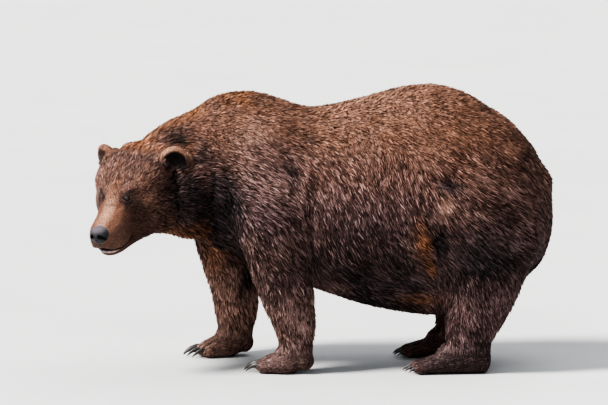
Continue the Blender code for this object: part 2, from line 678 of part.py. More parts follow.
def bear_parts():
    """Every node of the bear as an object."""
    trunk = lightened(envelope())
    trunk.name = "trunk"
    trunk.data.name = "trunk"
    floor = block("floor", (-2, -2, -1), (2, 2, FLOOR))
    boolean(trunk, floor, "DIFFERENCE")
    nodes = {}
    limbs = (
        ("front_leg_left", "front_paw_left", FRONT_REACH_LEFT, WRIST),
        ("front_leg_right", "front_paw_right", FRONT_REACH_RIGHT, WRIST),
        ("hind_leg_left", "hind_paw_left", hind_reach(-1), ANKLE),
        ("hind_leg_right", "hind_paw_right", hind_reach(1), ANKLE),
    )
    for leg, paw, rows, height in limbs:
        region = tube("reach", rows, steps=1, sides=14, caps=(0.6, 0.0))
        nodes[leg] = split_off(trunk, region, leg)
        nodes[paw] = cut_level(nodes[leg], height, paw)
    nodes["tail"] = split_off(trunk, ellipsoid("reach", TAIL_AT + Vector((0.010, 0, 0)), (0.050, 0.052, 0.086), turn=(0, -12, 0), detail=2), "tail")
    slope = Matrix.Translation((-0.470, 0, 0.860)) @ Matrix.Rotation(math.radians(-11), 4, "Y")
    nodes["neck"] = split_off(trunk, block("reach", (-0.9, -0.7, -0.8), (0, 0.7, 0.8), slope), "neck")
    to_model = head_matrix()
    nodes["head"] = split_off(nodes["neck"], block("reach", (NAPE_CUT, -0.36, -0.32), (0.6, 0.36, 0.34), to_model), "head")
    head = nodes["head"]
    for s, name in ((1, "ear_left"), (-1, "ear_right")):
        at = to_model @ ear_matrix(s)
        nodes[name] = split_off(head, block("reach", (-0.080, -0.090, -0.032), (0.080, 0.090, 0.120), at), name)
    nodes["nose"] = split_off(head, moved(ellipsoid("reach", (NOSE_AT[0] + 0.006, 0, NOSE_AT[2]), (0.041, 0.046, 0.0365), detail=2), to_model), "nose")
    # the jaw lies under a plane that climbs to the mouth's corner; the mouth is a little open
    nodes["lower_jaw"] = boolean(duplicate(head, "lower_jaw"), wedge("jaw_region", MOUTH_BELOW, 0.2), "INTERSECT")
    boolean(head, wedge("mouth", MOUTH_ABOVE, 0.2), "DIFFERENCE")
    for s in (1, -1):
        ball = eye(s)
        nodes[ball.name] = ball
        boolean(head, grown(ball, GAP * 1.35), "DIFFERENCE")
        opening = moved(ellipsoid("lids", (0.012, 0, 0), (0.009, 0.0125, 0.0072), detail=2), eye_matrix(s))
        boolean(head, moved(opening, to_model), "DIFFERENCE")
    for name, obj in list(nodes.items()) + [("trunk", trunk)]:
        tidy(obj)
        obj.name = name
    nodes["trunk"] = trunk
    for paw, shape, name, reach, height, spread in (
        (FRONT_PAW_LEFT, FRONT_CLAW, "front_paw_left", 0.172, 0.036, 1.6),
        (FRONT_PAW_RIGHT, FRONT_CLAW, "front_paw_right", 0.172, 0.036, 1.6),
        (HIND_PAW_LEFT, HIND_CLAW, "hind_paw_left", 0.272, 0.028, 1.0),
        (HIND_PAW_RIGHT, HIND_CLAW, "hind_paw_right", 0.272, 0.028, 1.0),
    ):
        for n, claw in enumerate(claws(paw, shape, reach, height, spread)):
            key = name.replace("paw", "claw") + f"_{n + 1}"
            claw.name = key
            claw.data.name = key
            boolean(claw, grown(nodes[name], GAP * 1.2), "DIFFERENCE")
            nodes[key] = tidy(claw)
    return nodes


MOUTH_BELOW = ((0.480, -0.1290), (0.305, -0.1240), (0.2150, -0.1190), (0.200, -0.260), (0.480, -0.260))
MOUTH_ABOVE = ((0.480, -0.1170), (0.305, -0.1232), (0.2144, -0.1184), (0.1994, -0.262), (0.480, -0.262))


# ------------------------------------------------------------------- materials
# linear red, green, blue; roughness
FINISHES = {
    "coat_brown": ((0.120, 0.058, 0.032), 0.85),
    "coat_dark": ((0.045, 0.026, 0.019), 0.80),
    "coat_face": ((0.135, 0.074, 0.045), 0.85),
    "nose_leather": ((0.024, 0.023, 0.026), 0.42),
    "eye_gloss": ((0.022, 0.012, 0.008), 0.08),
    "claw_horn": ((0.034, 0.024, 0.018), 0.38),
}


def finish_of(node):
    if "claw" in node:
        return "claw_horn"
    if node.startswith("eye"):
        return "eye_gloss"
    if node == "nose":
        return "nose_leather"
    if node in ("head", "lower_jaw", "ear_left", "ear_right"):
        return "coat_face"
    return "coat_dark" if "leg" in node or "paw" in node else "coat_brown"


def finish(nodes):
    made = {}
    for name, (colour, rough) in FINISHES.items():
        material = bpy.data.materials.new(name)
        material.use_nodes = True
        shader = material.node_tree.nodes["Principled BSDF"]
        shader.inputs["Base Color"].default_value = (*colour, 1.0)
        shader.inputs["Roughness"].default_value = rough
        shader.inputs["Metallic"].default_value = 0.0
        material.diffuse_color = (*colour, 1.0)
        made[name] = material
    for name, obj in nodes.items():
        obj.data.materials.clear()
        obj.data.materials.append(made[finish_of(name)])
        obj.data.shade_smooth()
        obj.data.set_sharp_from_angle(angle=math.radians(38))


def stand(nodes):
    """Places the bear so that the middle of its bounding box is over the origin."""
    low = Vector((9, 9, 9))
    high = -low
    for obj in nodes.values():
        for vert in obj.data.vertices:
            for k in range(3):
                low[k] = min(low[k], vert.co[k])
                high[k] = max(high[k], vert.co[k])
    shift = Vector((-(low.x + high.x) / 2, -(low.y + high.y) / 2, 0))
    root = bpy.data.objects.new("bear", None)
    bpy.context.scene.collection.objects.link(root)
    root.location = shift
    for name, obj in nodes.items():
        middle = sum((v.co for v in obj.data.vertices), Vector()) / len(obj.data.vertices)
        obj.data.transform(Matrix.Translation(-middle))
        obj.location = middle
        obj.parent = root
    return shift


if __name__ == "__main__":
    clear()
    parts = bear_parts()
    finish(parts)
    moved_by = stand(parts)
    print("bear stands", [round(c, 6) for c in moved_by])
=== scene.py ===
"""A life-size grizzly bear, standing with its head turned to its left: skin, coat,
eyes, claws, light and camera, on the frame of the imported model.

The body's masses are built here as they are in the solids, and the skin lies inside
them by the coat's depth. The coat is solid tufts that follow the lie of the fur.
"""
import json
import math

import bmesh
import bpy
import numpy as np
from mathutils import Matrix, Vector
from mathutils.bvhtree import BVHTree
from mathutils.kdtree import KDTree

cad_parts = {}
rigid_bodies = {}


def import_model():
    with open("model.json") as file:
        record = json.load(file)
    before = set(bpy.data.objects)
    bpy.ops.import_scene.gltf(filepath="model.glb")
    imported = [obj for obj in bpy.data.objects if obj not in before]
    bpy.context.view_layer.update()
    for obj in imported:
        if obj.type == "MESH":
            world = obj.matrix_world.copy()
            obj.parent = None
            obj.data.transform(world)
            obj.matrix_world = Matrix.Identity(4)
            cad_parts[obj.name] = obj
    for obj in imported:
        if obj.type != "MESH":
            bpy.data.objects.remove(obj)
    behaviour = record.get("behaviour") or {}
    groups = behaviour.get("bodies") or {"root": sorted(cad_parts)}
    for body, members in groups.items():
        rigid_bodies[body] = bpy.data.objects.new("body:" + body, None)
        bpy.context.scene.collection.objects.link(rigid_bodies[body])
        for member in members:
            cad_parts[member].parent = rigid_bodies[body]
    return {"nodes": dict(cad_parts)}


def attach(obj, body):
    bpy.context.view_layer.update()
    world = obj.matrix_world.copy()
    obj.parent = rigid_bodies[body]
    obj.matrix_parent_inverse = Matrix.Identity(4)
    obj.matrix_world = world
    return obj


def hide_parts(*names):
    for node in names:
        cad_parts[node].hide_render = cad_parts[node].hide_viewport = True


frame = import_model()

# ------------------------------------------------------------------ dimensions
GAP = 0.0004            # clearance between neighbouring solids
FLOOR = 0.0

HEAD_YAW = math.radians(61)      # turned from straight ahead towards the left
HEAD_PITCH = math.radians(24.5)    # nose down
HEAD_ROLL = math.radians(1)
HEAD_AT = Vector((-0.810, -0.125, 0.885))   # middle of the cranium

EYE_RADIUS = 0.0125
EYE_AT = (0.2422, 0.0590, 0.0428)  # in the head's frame
GAZE = (0.70, 0.64, 0.30)
EAR_AT = (-0.031, 0.177, 0.062)
EAR_LIFT = 0.014           # the left ear is carried a little higher
NOSE_AT = (0.442, 0.0, -0.032)

FRONT_PAW_LEFT = dict(at=(-0.118, -0.236), toe_in=17, side=-1)
FRONT_PAW_RIGHT = dict(at=(-0.395, 0.247), toe_in=12, side=1)
HIND_PAW_LEFT = dict(at=(0.690, -0.222), toe_in=-2, side=-1)
HIND_PAW_RIGHT = dict(at=(0.648, 0.200), toe_in=-4, side=1)

FRONT_CLAW = dict(length=0.062, thick=0.0122, drop=0.026)
HIND_CLAW = dict(length=0.044, thick=0.0096, drop=0.016)
TOES = (-0.066, -0.034, 0.0, 0.034, 0.066)          # sideways places, front paw
TOE_SET_BACK = (0.030, 0.008, 0.0, 0.008, 0.026)

# trunk: x, top, bottom, half width, height of the widest line as a share
TRUNK = (
    (-0.640, 0.960, 0.800, 0.060, 0.50),
    (-0.590, 1.100, 0.680, 0.160, 0.48),
    (-0.500, 1.205, 0.590, 0.235, 0.46),
    (-0.400, 1.262, 0.525, 0.285, 0.45),
    (-0.300, 1.260, 0.470, 0.312, 0.44),
    (-0.190, 1.231, 0.425, 0.328, 0.43),
    (-0.090, 1.198, 0.385, 0.342, 0.42),
    (0.000, 1.190, 0.350, 0.358, 0.41),
    (0.110, 1.214, 0.308, 0.380, 0.41),
    (0.250, 1.252, 0.268, 0.402, 0.41),
    (0.400, 1.288, 0.242, 0.410, 0.42),
    (0.520, 1.296, 0.238, 0.410, 0.43),
    (0.640, 1.262, 0.252, 0.398, 0.44),
    (0.740, 1.210, 0.284, 0.378, 0.45),
    (0.830, 1.152, 0.330, 0.346, 0.46),
    (0.905, 1.086, 0.380, 0.305, 0.47),
    (0.965, 1.008, 0.430, 0.255, 0.48),
    (1.010, 0.920, 0.480, 0.195, 0.49),
    (1.040, 0.810, 0.550, 0.120, 0.50),
)

# neck: centre x, y, z, half width, up, down
NECK = (
    (-0.340, 0.010, 0.890, 0.250, 0.310, 0.290),
    (-0.480, 0.008, 0.880, 0.238, 0.318, 0.288),
    (-0.590, 0.002, 0.868, 0.216, 0.296, 0.262),
    (-0.680, -0.010, 0.858, 0.190, 0.262, 0.244),
    (-0.750, -0.036, 0.852, 0.172, 0.228, 0.226),
    (-0.800, -0.066, 0.850, 0.158, 0.186, 0.205),
)

# skull and muzzle, in the head's frame: x, z centre, half width, up, down
SKULL = (
    (-0.130, -0.020, 0.150, 0.105, 0.165),
    (-0.050, -0.020, 0.178, 0.124, 0.184),
    (0.020, -0.020, 0.184, 0.134, 0.190),
    (0.090, -0.024, 0.174, 0.138, 0.184),
    (0.150, -0.030, 0.154, 0.138, 0.168),
    (0.200, -0.040, 0.124, 0.130, 0.146),
    (0.245, -0.050, 0.100, 0.114, 0.124),
    (0.295, -0.056, 0.086, 0.092, 0.104),
    (0.350, -0.058, 0.081, 0.074, 0.092),
    (0.400, -0.058, 0.075, 0.065, 0.074),
    (0.430, -0.056, 0.062, 0.050, 0.052),
)
JAW = (
    (0.040, -0.155, 0.140, 0.070, 0.054),
    (0.130, -0.156, 0.118, 0.060, 0.052),
    (0.220, -0.154, 0.090, 0.050, 0.044),
    (0.300, -0.151, 0.072, 0.038, 0.037),
    (0.360, -0.148, 0.061, 0.031, 0.033),
    (0.398, -0.143, 0.046, 0.025, 0.027),
)

# legs: centre x, y, z, half width, back, front
FRONT_LEG_LEFT = (
    (-0.290, -0.190, 0.950, 0.100, 0.130, 0.130),
    (-0.255, -0.240, 0.800, 0.122, 0.160, 0.160),
    (-0.225, -0.265, 0.660, 0.122, 0.160, 0.155),
    (-0.205, -0.270, 0.590, 0.116, 0.152, 0.153),
    (-0.186, -0.268, 0.500, 0.108, 0.142, 0.144),
    (-0.162, -0.262, 0.410, 0.099, 0.128, 0.128),
    (-0.138, -0.252, 0.320, 0.090, 0.111, 0.111),
    (-0.119, -0.243, 0.235, 0.080, 0.093, 0.093),
    (-0.112, -0.237, 0.165, 0.072, 0.080, 0.079),
    (-0.113, -0.235, 0.100, 0.071, 0.078, 0.072),
)
FRONT_LEG_RIGHT = (
    (-0.330, 0.190, 0.950, 0.100, 0.130, 0.130),
    (-0.370, 0.230, 0.800, 0.122, 0.160, 0.182),
    (-0.410, 0.250, 0.680, 0.126, 0.160, 0.198),
    (-0.418, 0.260, 0.570, 0.117, 0.152, 0.174),
    (-0.406, 0.264, 0.460, 0.106, 0.138, 0.146),
    (-0.393, 0.260, 0.370, 0.097, 0.120, 0.125),
    (-0.386, 0.254, 0.290, 0.088, 0.104, 0.106),
    (-0.384, 0.249, 0.210, 0.079, 0.091, 0.093),
    (-0.386, 0.247, 0.140, 0.072, 0.081, 0.081),
    (-0.390, 0.247, 0.080, 0.071, 0.076, 0.076),
)
HIND_LEG_LEFT = (
    (0.560, -0.170, 0.900, 0.120, 0.220, 0.180),
    (0.660, -0.205, 0.770, 0.146, 0.290, 0.230),
    (0.705, -0.225, 0.650, 0.156, 0.325, 0.240),
    (0.722, -0.234, 0.560, 0.154, 0.290, 0.222),
    (0.728, -0.238, 0.470, 0.144, 0.228, 0.195),
    (0.728, -0.236, 0.390, 0.128, 0.170, 0.155),
    (0.708, -0.228, 0.310, 0.112, 0.144, 0.135),
    (0.688, -0.222, 0.235, 0.098, 0.126, 0.120),
    (0.678, -0.220, 0.170, 0.088, 0.104, 0.106),
    (0.676, -0.220, 0.100, 0.080, 0.094, 0.106),
)
HIND_SHIFT = (-0.042, 0.444)     # the right hind leg's foot against the left's

TAIL_AT = Vector((1.028, 0.0, 0.852))


# ------------------------------------------------------------------- modelling
def clear():
    for obj in list(bpy.data.objects):
        bpy.data.objects.remove(obj)


def add_object(name, bm, smooth=True):
    mesh = bpy.data.meshes.new(name)
    bmesh.ops.recalc_face_normals(bm, faces=bm.faces)
    bm.to_mesh(mesh)
    bm.free()
    obj = bpy.data.objects.new(name, mesh)
    bpy.context.scene.collection.objects.link(obj)
    if smooth:
        mesh.shade_smooth()
    return obj


def catmull(rows, steps):
    """Smooth rows between the given ones: numbers along a Catmull-Rom curve."""
    rows = [np.array(r, float) for r in rows]
    ends = [2 * rows[0] - rows[1]] + rows + [2 * rows[-1] - rows[-2]]
    out = []
    for i in range(1, len(ends) - 2):
        p0, p1, p2, p3 = ends[i - 1 : i + 3]
        for k in range(steps):
            t = k / steps
            out.append(
                0.5
                * (
                    2 * p1
                    + (p2 - p0) * t
                    + (2 * p0 - 5 * p1 + 4 * p2 - p3) * t * t
                    + (3 * p1 - p0 - 3 * p2 + p3) * t**3
                )
            )
    out.append(rows[-1])
    return out


def tube(name, rows, side=(0, 1, 0), steps=4, sides=28, caps=(0.35, 0.35), power=2.0, axis=None):
    """Rings of (centre, half width, up, down) along a path, closed with domes.
    The ring's width runs along side, and up is path x side. With an axis given,
    every ring stands square to it instead of to the path."""
    rows = catmull(rows, steps)
    centres = [Vector(r[:3]) for r in rows]
    bm = bmesh.new()
    rings = []
    last = len(rows) - 1

    def ring(centre, across, up, half, high, low, scale):
        made = []
        for k in range(sides):
            a = 2 * math.pi * k / sides
            c, s = math.cos(a), math.sin(a)
            reach = (abs(c) ** power + abs(s) ** power) ** (-1 / power)
            x, y = c * reach * half, s * reach * (high if s > 0 else low)
            made.append(bm.verts.new(centre + (across * x + up * y) * scale))
        rings.append(made)

    for i, row in enumerate(rows):
        along = Vector(axis or centres[min(i + 1, last)] - centres[max(i - 1, 0)]).normalized()
        across = (Vector(side) - along * along.dot(Vector(side))).normalized()
        up = along.cross(across)
        half, high, low = row[3:6]
        mean = (half + 0.5 * (high + low)) / 2
        if i == 0 and caps[0]:
            for a in (70, 45, 22):
                t = math.radians(a)
                ring(centres[0] - along * (mean * caps[0] * math.sin(t)), across, up, half, high, low, math.cos(t))
        ring(centres[i], across, up, half, high, low, 1.0)
        if i == last and caps[1]:
            for a in (22, 45, 70):
                t = math.radians(a)
                ring(centres[i] + along * (mean * caps[1] * math.sin(t)), across, up, half, high, low, math.cos(t))
    for a, b in zip(rings, rings[1:]):
        for k in range(sides):
            n = (k + 1) % sides
            bm.faces.new((a[k], a[n], b[n], b[k]))
    bm.faces.new(rings[0])
    bm.faces.new(rings[-1])
    return add_object(name, bm)


def ellipsoid(name, centre, radii, turn=(0, 0, 0), detail=4):
    """An icosphere stretched to its radii, turned by degrees about X, Y and Z."""
    bm = bmesh.new()
    bmesh.ops.create_icosphere(bm, subdivisions=detail, radius=1.0)
    turned = Matrix.Identity(4)
    for axis, angle in zip("XYZ", turn):
        turned = Matrix.Rotation(math.radians(angle), 4, axis) @ turned
    bm.transform(Matrix.Translation(Vector(centre)) @ turned @ Matrix.Diagonal((*radii, 1)))
    return add_object(name, bm)


def mesh_of(obj):
    """The object's mesh with its modifiers applied."""
    graph = bpy.context.evaluated_depsgraph_get()
    return bpy.data.meshes.new_from_object(obj.evaluated_get(graph))


def bake(obj):
    """Applies all modifiers of obj."""
    mesh = mesh_of(obj)
    old = obj.data
    obj.modifiers.clear()
    obj.data = mesh
    bpy.data.meshes.remove(old)
    return obj


def moved(obj, matrix):
    obj.data.transform(matrix)
    if matrix.determinant() < 0:
        obj.data.flip_normals()
    return obj


def joined(name, objects):
    """One object holding all the meshes, still overlapping."""
    bm = bmesh.new()
    for obj in objects:
        bm.from_mesh(obj.data)
        bpy.data.objects.remove(obj)
    return add_object(name, bm)


def fuse(name, objects, voxel, rounds, factor=0.5, where=None):
    """Overlapping closed meshes as one even skin, with creases rounded. where gives
    the share of the rounding at a point."""
    obj = joined(name, objects)
    remesh = obj.modifiers.new("Remesh", "REMESH")
    remesh.mode = "VOXEL"
    remesh.voxel_size = voxel
    remesh.use_smooth_shade = True
    if where:
        bake(obj)
        weigh(obj, "rounding", where)
    if rounds:
        smooth = obj.modifiers.new("Smooth", "SMOOTH")
        smooth.factor = factor
        smooth.iterations = rounds
        if where:
            smooth.vertex_group = "rounding"
    return bake(obj)


def weigh(obj, name, share):
    """A vertex group whose weight at each vertex is share(point)."""
    group = obj.vertex_groups.new(name=name)
    for vert in obj.data.vertices:
        group.add([vert.index], max(0.0, min(1.0, share(vert.co))), "REPLACE")


def boolean(obj, tool, operation, keep_tool=False):
    cut = obj.modifiers.new("Cut", "BOOLEAN")
    cut.operation = operation
    cut.object = tool
    cut.solver = "EXACT"
    bake(obj)
    if not keep_tool:
        bpy.data.objects.remove(tool)
    return obj


# ------------------------------------------------------------------------ head
def head_matrix():
    """The head's frame in the model's: +X to the nose, +Y to the bear's left, +Z to its crown."""
    heading = Vector((-math.cos(HEAD_YAW), -math.sin(HEAD_YAW), 0))
    up = Vector((0, 0, 1))
    nose = heading * math.cos(HEAD_PITCH) - up * math.sin(HEAD_PITCH)
    crown = up * math.cos(HEAD_PITCH) + heading * math.sin(HEAD_PITCH)
    left = Vector((math.sin(HEAD_YAW), -math.cos(HEAD_YAW), 0))
    side = left * math.cos(HEAD_ROLL) + crown * math.sin(HEAD_ROLL)
    crown = crown * math.cos(HEAD_ROLL) - left * math.sin(HEAD_ROLL)
    m = Matrix((nose, side, crown)).transposed().to_4x4()
    return Matrix.Translation(HEAD_AT) @ m


def ear_matrix(side):
    """The ear's frame in the head's: +X out of the cup, +Z to the tip."""
    face = Vector((0.88, side * 0.46, 0.06)).normalized()
    tip = Vector((-0.05, side * 0.36, 0.90))
    tip = (tip - face * face.dot(tip)).normalized()
    across = tip.cross(face)
    m = Matrix((face, across, tip)).transposed().to_4x4()
    at = Vector((EAR_AT[0], side * EAR_AT[1], EAR_AT[2] + (EAR_LIFT if side > 0 else 0)))
    return Matrix.Translation(at) @ m


def eye_matrix(side):
    """The eye's frame in the head's: +X out of the pupil, +Y along the slit to its outer corner."""
    gaze = Vector((GAZE[0], side * GAZE[1], GAZE[2])).normalized()
    outward = Vector((-0.62, side * 0.70, 0.34))
    outward = (outward - gaze * gaze.dot(outward)).normalized()
    m = Matrix((gaze, outward, gaze.cross(outward) * side)).transposed().to_4x4()
    return Matrix.Translation((EYE_AT[0], side * EYE_AT[1], EYE_AT[2])) @ m


def ear(side):
    shell = ellipsoid("ear_shell", (0, 0, 0.006), (0.031, 0.067, 0.071), detail=4)
    root = ellipsoid("ear_root", (-0.008, 0, -0.045), (0.044, 0.058, 0.058), detail=3)
    cup = ellipsoid("ear_cup", (0.037, 0, 0.007), (0.031, 0.051, 0.055), detail=3)
    obj = boolean(fuse("ear", [shell, root], 0.006, 2), cup, "DIFFERENCE")
    return moved(obj, ear_matrix(side))


def head_masses():
    """Skull, cheeks, brows, muzzle and jaw, in the head's frame."""
    masses = [
        tube("skull", [(x, 0, z, w, up, dn) for x, z, w, up, dn in SKULL], caps=(0.6, 0.55), power=2.15),
        tube("jaw", [(x, 0, z, w, up, dn) for x, z, w, up, dn in JAW], caps=(0.4, 0.8)),
        ellipsoid("nose", NOSE_AT, (0.035, 0.0440, 0.0355)),
        ellipsoid("throat", (0.040, 0, -0.130), (0.170, 0.150, 0.100)),
    ]
    for s in (-1, 1):
        masses += [
            ellipsoid("cheek", (0.040, s * 0.120, -0.090), (0.180, 0.100, 0.130), turn=(0, 0, -s * 16)),
            ellipsoid("ruff", (-0.080, s * 0.095, -0.050), (0.150, 0.125, 0.160)),
            ellipsoid("jowl", (0.185, s * 0.070, -0.098), (0.120, 0.064, 0.088), turn=(0, 0, -s * 16)),
            ellipsoid("temple", (0.060, s * 0.086, 0.040), (0.140, 0.092, 0.084), turn=(0, 8, 0)),
            ellipsoid("brow", (0.200, s * 0.060, 0.062), (0.056, 0.038, 0.024), turn=(0, 24, s * -16)),
            ellipsoid("lip", (0.350, s * 0.044, -0.100), (0.090, 0.042, 0.042)),
        ]
    return masses


# ------------------------------------------------------------------------ paws
def paw_matrix(paw):
    """The paw's frame: +X to the toes, +Y to the bear's left, origin on the floor under the wrist."""
    a = math.pi + math.radians(paw["toe_in"]) * paw["side"]
    return Matrix.Translation((*paw["at"], FLOOR)) @ Matrix.Rotation(a, 4, "Z")


def front_paw(paw):
    parts = [
        ellipsoid("palm", (0.060, 0, 0.040), (0.098, 0.086, 0.052)),
        ellipsoid("wrist_pad", (-0.048, 0.0, 0.062), (0.046, 0.050, 0.050)),
        ellipsoid("wrist", (0.004, 0, 0.090), (0.078, 0.068, 0.068)),
    ]
    for y, back in zip(TOES, TOE_SET_BACK):
        parts.append(ellipsoid("toe", (0.140 - back, y, 0.032), (0.048, 0.0205, 0.031), turn=(0, 8, math.degrees(y) * 1.1), detail=3))
    return [moved(o, paw_matrix(paw)) for o in parts]


def hind_paw(paw):
    parts = [
        tube(
            "sole",
            [
                (-0.050, 0, 0.060, 0.066, 0.062, 0.066),
                (0.000, 0, 0.062, 0.074, 0.070, 0.068),
                (0.080, 0, 0.052, 0.076, 0.060, 0.058),
                (0.160, 0, 0.040, 0.080, 0.044, 0.046),
                (0.215, 0, 0.034, 0.080, 0.034, 0.040),
            ],
            caps=(0.55, 0.3),
        ),
        ellipsoid("instep", (0.070, 0, 0.100), (0.100, 0.072, 0.062), turn=(0, 22, 0)),
    ]
    for y, back in zip(TOES, TOE_SET_BACK):
        parts.append(ellipsoid("toe", (0.248 - 0.8 * back, y * 0.98, 0.030), (0.042, 0.0195, 0.029), turn=(0, 8, math.degrees(y) * 0.8), detail=3))
    return [moved(o, paw_matrix(paw)) for o in parts]


def claws(paw, shape, reach, height, spread):
    """Five curved claws, as tapering tubes bent down from the toes' ends."""
    made = []
    for n, (y, back) in enumerate(zip(TOES, TOE_SET_BACK)):
        yaw = math.degrees(y) * spread
        rows = []
        for k in range(5):
            t = k / 4
            x = shape["length"] * t
            z = -shape["drop"] * t**1.9 + 0.004 * math.sin(math.pi * t)
            thick = shape["thick"] * (1.0 - 0.86 * t**1.8)
            rows.append((x, 0, z, thick * 0.68, thick, thick))
        obj = tube("claw", rows, steps=1, sides=5, caps=(0.0, 0.0))
        place = Matrix.Translation((reach - back, y, height)) @ Matrix.Rotation(math.radians(yaw), 4, "Z")
        moved(obj, paw_matrix(paw) @ place)
        obj.name = f"claw_{n + 1}"
        made.append(obj)
    return made


# ------------------------------------------------------------------------ body
def right_hind_rows():
    """The left hind leg mirrored, with its foot set a little further forward."""
    rows = []
    for x, y, z, half, back, front in HIND_LEG_LEFT:
        low = max(0.0, min(1.0, (0.75 - z) / 0.60))
        rows.append((x + HIND_SHIFT[0] * low, -y - 0.020 * low, z, half, back, front))
    return rows


def body_masses():
    trunk = []
    for x, top, bottom, half, share in TRUNK:
        middle = bottom + share * (top - bottom)
        trunk.append((x, 0, middle, half, top - middle, middle - bottom))
    masses = [
        tube("barrel", trunk, caps=(0.7, 0.16), sides=36, axis=(1, 0, 0)),
        tube("neck", NECK, side=(0, -1, 0), caps=(0.3, 0.5)),
        ellipsoid("hump", (-0.370, 0, 1.100), (0.230, 0.150, 0.168), turn=(0, -4, 0)),
        ellipsoid("chest", (-0.440, 0.010, 0.690), (0.170, 0.190, 0.160), turn=(0, 20, 0)),
        tube("front_leg_left", FRONT_LEG_LEFT, caps=(0.5, 0.2)),
        tube("front_leg_right", FRONT_LEG_RIGHT, caps=(0.5, 0.2)),
        tube("hind_leg_left", HIND_LEG_LEFT, caps=(0.5, 0.2)),
        tube("hind_leg_right", right_hind_rows(), caps=(0.5, 0.2)),
        ellipsoid("nape", (-0.600, -0.150, 0.800), (0.150, 0.125, 0.190)),
        ellipsoid("tail", TAIL_AT, (0.040, 0.042, 0.075), turn=(0, -12, 0)),
    ]
    for s, shift in ((-1, 0.0), (1, -0.09)):
        masses += [
            ellipsoid("scapula", (-0.290 + shift * 0.6, s * 0.190, 0.900), (0.190, 0.120, 0.270), turn=(0, 12, 0)),
            ellipsoid("elbow", (-0.120 + shift * 2, s * 0.275, 0.560), (0.085, 0.085, 0.110)),
            ellipsoid("haunch", (0.640, s * 0.245, 0.700), (0.290, 0.160, 0.340), turn=(0, -12, 0)),
        ]
    return masses


def envelope(voxel=0.009, rounds=64):
    """The whole outer shape of the coat as one closed mesh."""
    body = fuse("body", body_masses(), 0.014, 70, where=lambda p: 0.25 + (p.z - 0.30) / 0.35)
    head = fuse("head", head_masses(), 0.007, 14)
    ears = [ear(-1), ear(1)]
    head = fuse("head", [head] + ears, 0.006, 2)
    moved(head, head_matrix())
    paws = front_paw(FRONT_PAW_LEFT) + front_paw(FRONT_PAW_RIGHT)
    paws += hind_paw(HIND_PAW_LEFT) + hind_paw(HIND_PAW_RIGHT)
    paws = fuse("paws", paws, 0.007, 4)
    to_head = head_matrix().inverted()

    def rounding(p):
        """Most where the head meets the neck and the wrists meet the paws."""
        nape = math.exp(-(((to_head @ p).x + 0.11) / 0.07) ** 2) if p.x < -0.5 else 0.0
        wrist = 0.25 * math.exp(-((p.z - 0.13) / 0.05) ** 2)
        return max(0.05, nape, wrist)

    return fuse("bear", [body, head, paws], voxel, rounds, where=rounding)


# ---------------------------------------------------------------------- scene
COAT = True
VOXEL = 0.0065
SHIFT = np.array([-0.008285, 0.045046, 0.0])     # the body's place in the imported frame
SEED = 11
CELL = 0.685
MARKS_AND_LIGHT = ("dark", "warm", "pale", "cool")
for name in ("Cube", "Light", "Camera"):
    if name in bpy.data.objects:
        bpy.data.objects.remove(bpy.data.objects[name])
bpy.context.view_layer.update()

HEAD = np.array(head_matrix())
HEAD_INV = np.array(head_matrix().inverted())
EARS = {s: np.array(head_matrix() @ ear_matrix(s)) for s in (1, -1)}
PAWS = (
    ("front_left", FRONT_PAW_LEFT),
    ("front_right", FRONT_PAW_RIGHT),
    ("hind_left", HIND_PAW_LEFT),
    ("hind_right", HIND_PAW_RIGHT),
)


# ------------------------------------------------------------- small functions
def smoothstep(low, high, value):
    t = np.clip((value - low) / (high - low), 0.0, 1.0)
    return t * t * (3 - 2 * t)


def bell(value, middle, width):
    return np.exp(-(((value - middle) / width) ** 2))


def unit(v):
    return v / np.maximum(np.linalg.norm(v, axis=-1, keepdims=True), 1e-12)


def into(matrix, p):
    """Points taken through a 4x4 matrix."""
    return p @ matrix[:3, :3].T + matrix[:3, 3]


def ripple(p, size, seed, octaves=3):
    """Smooth noise of about -1 to 1, as a sum of waves in many directions."""
    rng = np.random.default_rng(seed)
    total = np.zeros(len(p))
    weight = 0.0
    for octave in range(octaves):
        k = 2 * math.pi / (size / 1.9**octave)
        amp = 0.62**octave
        for _ in range(5):
            direction = rng.normal(size=3)
            direction *= k * rng.uniform(0.6, 1.3) / np.linalg.norm(direction)
            total += amp * np.sin(p @ direction + rng.uniform(0, 6.28))
        weight += amp * math.sqrt(5)
    return total / weight


def coords(mesh):
    out = np.empty(len(mesh.vertices) * 3, np.float32)
    mesh.vertices.foreach_get("co", out)
    return out.reshape(-1, 3).astype(float)


def normals(mesh):
    out = np.empty(len(mesh.vertices) * 3, np.float32)
    mesh.vertices.foreach_get("normal", out)
    return out.reshape(-1, 3).astype(float)


def put(mesh, points):
    mesh.vertices.foreach_set("co", np.ascontiguousarray(points, np.float32).ravel())
    mesh.update()


